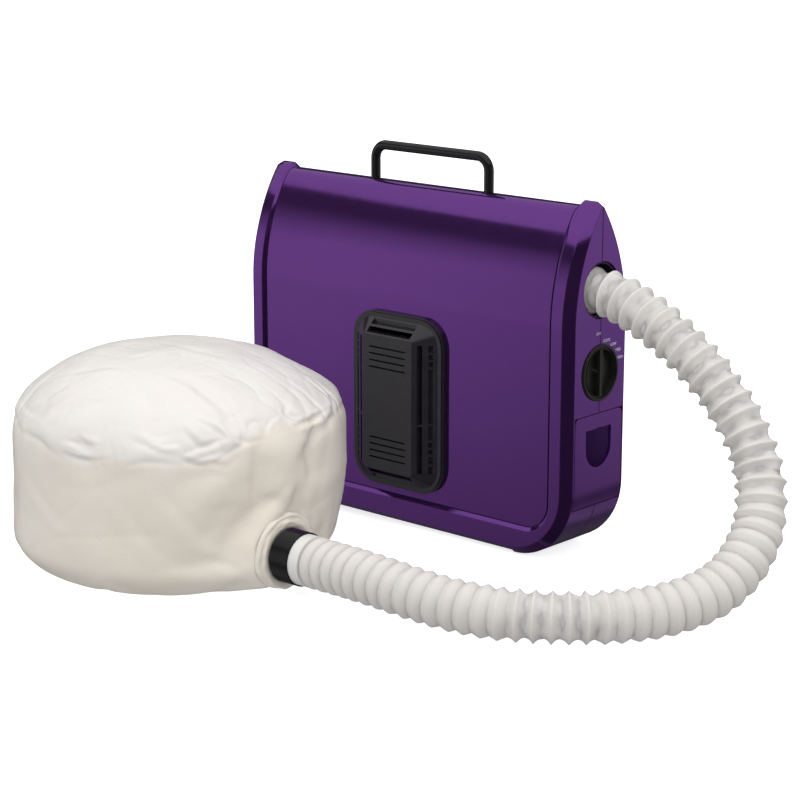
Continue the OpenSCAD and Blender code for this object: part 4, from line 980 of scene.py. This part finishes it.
# Words round the dial: text, across and up from the middle of the dial in mm
DIAL_MARKS = [("OFF", -2.7, 31.3), ("COOL", 8.1, 24.6), ("LOW", 16.6, 20.2), ("MED", 23.2, 14.6),
              ("HIGH", 25.6, 8.2)]
DIAL_Z = 0.152
SIDE_X = 0.175
MARK_SIZE = 0.0033  # height of a line of text
MARK_THICK = 0.00006  # half the thickness of the letters
MARK_BOLD = 0.00004  # added round the outline of each letter
MARK_GAP = 0.00004  # from the wall to the middle of the letters


def make_dial_marks():
    merged = bmesh.new()
    for word, across, up in DIAL_MARKS:
        curve = bpy.data.curves.new(word, "FONT")
        curve.body = word
        curve.size = MARK_SIZE
        curve.align_x, curve.align_y = "CENTER", "CENTER"
        curve.extrude = MARK_THICK
        curve.offset = MARK_BOLD
        text = new_object(word, curve)
        flat = bpy.data.meshes.new_from_object(evaluated(text))
        flat.transform(Matrix(((0, 0, 1, SIDE_X + MARK_GAP), (1, 0, 0, across * MM),
                               (0, 1, 0, DIAL_Z + up * MM), (0, 0, 0, 1))))
        merged.from_mesh(flat)
        bpy.data.objects.remove(text)
        bpy.data.curves.remove(curve)
        bpy.data.meshes.remove(flat)
    mesh = bpy.data.meshes.new("dial_marks")
    merged.to_mesh(mesh)
    merged.free()
    mesh.materials.append(moulded("mark_white", (0.80, 0.74, 0.86), 0.5, 0.97))
    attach(new_object("dial_marks", mesh), "case")


make_dial_marks()

# ---- stage and light ----


FLOOR_REACH = 30
FLOOR_GLOW = 0.78
PAPER_TONES = ((0.90, 0.90, 0.90), (0.92, 0.92, 0.92))
# Lamps: name, place, the point that each looks at, length of its sides and power in watts
LAMPS = [("key", (0.4, -1.8, 2.2), (0, -0.1, 0.1), 1.2, 19),
         ("top", (0.2, 0.1, 2.6), (0.05, -0.1, 0.1), 1.6, 11),
         ("fill", (1.6, 0.2, 1.2), (-0.05, -0.2, 0.12), 1.0, 4.0)]


def make_floor():
    """White paper, lit as if from below, that leaves only the contact shadows."""
    corners = [(x * FLOOR_REACH, y * FLOOR_REACH, 0) for x, y in ((-1, -1), (1, -1), (1, 1), (-1, 1))]
    floor = new_piece("floor", corners, [(0, 1, 2, 3)])
    m = Shader("floor_paper", roughness=0.9, specular_ior_level=0.0, emission_strength=FLOOR_GLOW)
    m.colour(m.mix(m.ramp(m.noise(3, 2), 0.3, 0.7), *PAPER_TONES))
    floor.data.materials.append(m.material)
    floor.visible_glossy = False
    floor.visible_diffuse = False


def add_lamp(name, at, towards, size, power):
    data = bpy.data.lights.new(name, "AREA")
    data.size = size
    data.energy = power
    lamp = new_object(name, data)
    lamp.location = at
    lamp.rotation_euler = (Vector(towards) - Vector(at)).to_track_quat("-Z", "Y").to_euler()
    lamp.visible_glossy = False


# Brightness that glossy surfaces see, by the height of the direction (-1 to 1)
BAND = [(-1.0, 0.25), (-0.75, 0.50), (-0.62, 0.62), (-0.50, 0.30), (-0.40, 0.18), (-0.30, 0.42),
        (-0.24, 0.74), (-0.185, 0.96), (-0.12, 1.0), (0.186, 1.0), (0.247, 0.82), (0.277, 0.71),
        (0.30, 0.62), (0.322, 0.55), (0.344, 0.435), (0.366, 0.345), (0.388, 0.23), (0.41, 0.125),
        (0.435, 0.10), (0.528, 0.09), (0.539, 1.17), (1.0, 1.19)]
BAND_TOP = 1.5  # brightness at the top of the curve
GLOSS_LEVEL = 0.51  # all of BAND is scaled by this
# Level directions and how much they add: (direction, from dot, to dot, amount)
SIDES = [((-0.862, -0.507), 0.84, 0.965, 0.72),  # paper to the left, seen in the front
         ((0.60, 0.80), 0.84, 0.975, 0.66)]  # paper behind on the right, seen in the side
ELSEWHERE = 0.28
DARK = ((0.77, -0.64), 0.90, 0.975)  # dark studio beside the camera
DARK_LEVEL = 0.12
OVERHEAD = 0.5  # height over which SIDES and DARK don't count
SKY_LOW, SKY_HIGH = 0.70, 0.92  # what dull surfaces receive from below and above
SKY_FROM, SKY_TO = -0.7, 0.9  # heights between which it changes


def make_world():
    """A studio that glossy surfaces see as BAND, dull ones as an even sky and the camera as white paper."""
    world = bpy.data.worlds.new("studio")
    scene.world = world
    if hasattr(world, "cycles"):
        # a lamp-like sky would show dull surfaces' light in glossy ones
        world.cycles.sampling_method = "NONE"
    world.use_nodes = True
    world.node_tree.nodes.clear()
    tree = Nodes(world.node_tree)
    direction = tree.node("ShaderNodeTexCoord").outputs["Generated"]
    apart = tree.node("ShaderNodeSeparateXYZ", {0: direction}).outputs
    flat = tree.node("ShaderNodeCombineXYZ", {"X": apart["X"], "Y": apart["Y"]}).outputs[0]
    level = tree.node("ShaderNodeVectorMath", {0: flat}, operation="NORMALIZE").outputs[0]

    def toward(axis, low, high, start, end):
        across = {0: level, 1: Vector((*axis, 0)).normalized()}
        dot = tree.node("ShaderNodeVectorMath", across, operation="DOT_PRODUCT").outputs["Value"]
        return tree.ramp(dot, low, high, start, end, interpolation_type="SMOOTHSTEP")

    halved = tree.math("MULTIPLY", apart["Z"], 0.5)
    band = tree.node("ShaderNodeFloatCurve", {"Value": tree.math("ADD", halved, 0.5)})
    curve = band.mapping.curves[0]
    for _ in range(len(BAND) - 2):
        curve.points.new(0.5, 0.5)
    for point, (height, value) in zip(curve.points, BAND):
        point.location = (height / 2 + 0.5, value / BAND_TOP)
        point.handle_type = "VECTOR"
    band.mapping.update()
    amount = ELSEWHERE
    for axis, low, high, share in SIDES:
        amount = tree.math("ADD", toward(axis, low, high, 0.0, share), amount)
    amount = tree.math("MULTIPLY", amount, toward(*DARK, 1.0, DARK_LEVEL))
    amount = tree.math("MAXIMUM", amount, tree.math("GREATER_THAN", apart["Z"], OVERHEAD))
    glow = tree.math("MULTIPLY", band.outputs[0], tree.math("MULTIPLY", amount, BAND_TOP * GLOSS_LEVEL))
    sky = tree.ramp(apart["Z"], SKY_FROM, SKY_TO, SKY_LOW, SKY_HIGH, interpolation_type="SMOOTHSTEP")

    def background(**values):
        return tree.node("ShaderNodeBackground", values).outputs[0]

    path = tree.node("ShaderNodeLightPath").outputs
    seen = {0: path["Is Glossy Ray"], 1: background(Strength=sky), 2: background(Strength=glow)}
    seen = {0: path["Is Camera Ray"], 1: tree.node("ShaderNodeMixShader", seen).outputs[0],
            2: background(Color=(1, 1, 1, 1))}
    tree.node("ShaderNodeOutputWorld", {"Surface": tree.node("ShaderNodeMixShader", seen).outputs[0]})


make_floor()
make_world()
for lamp in LAMPS:
    add_lamp(*lamp)
scene.view_settings.view_transform = "Standard"
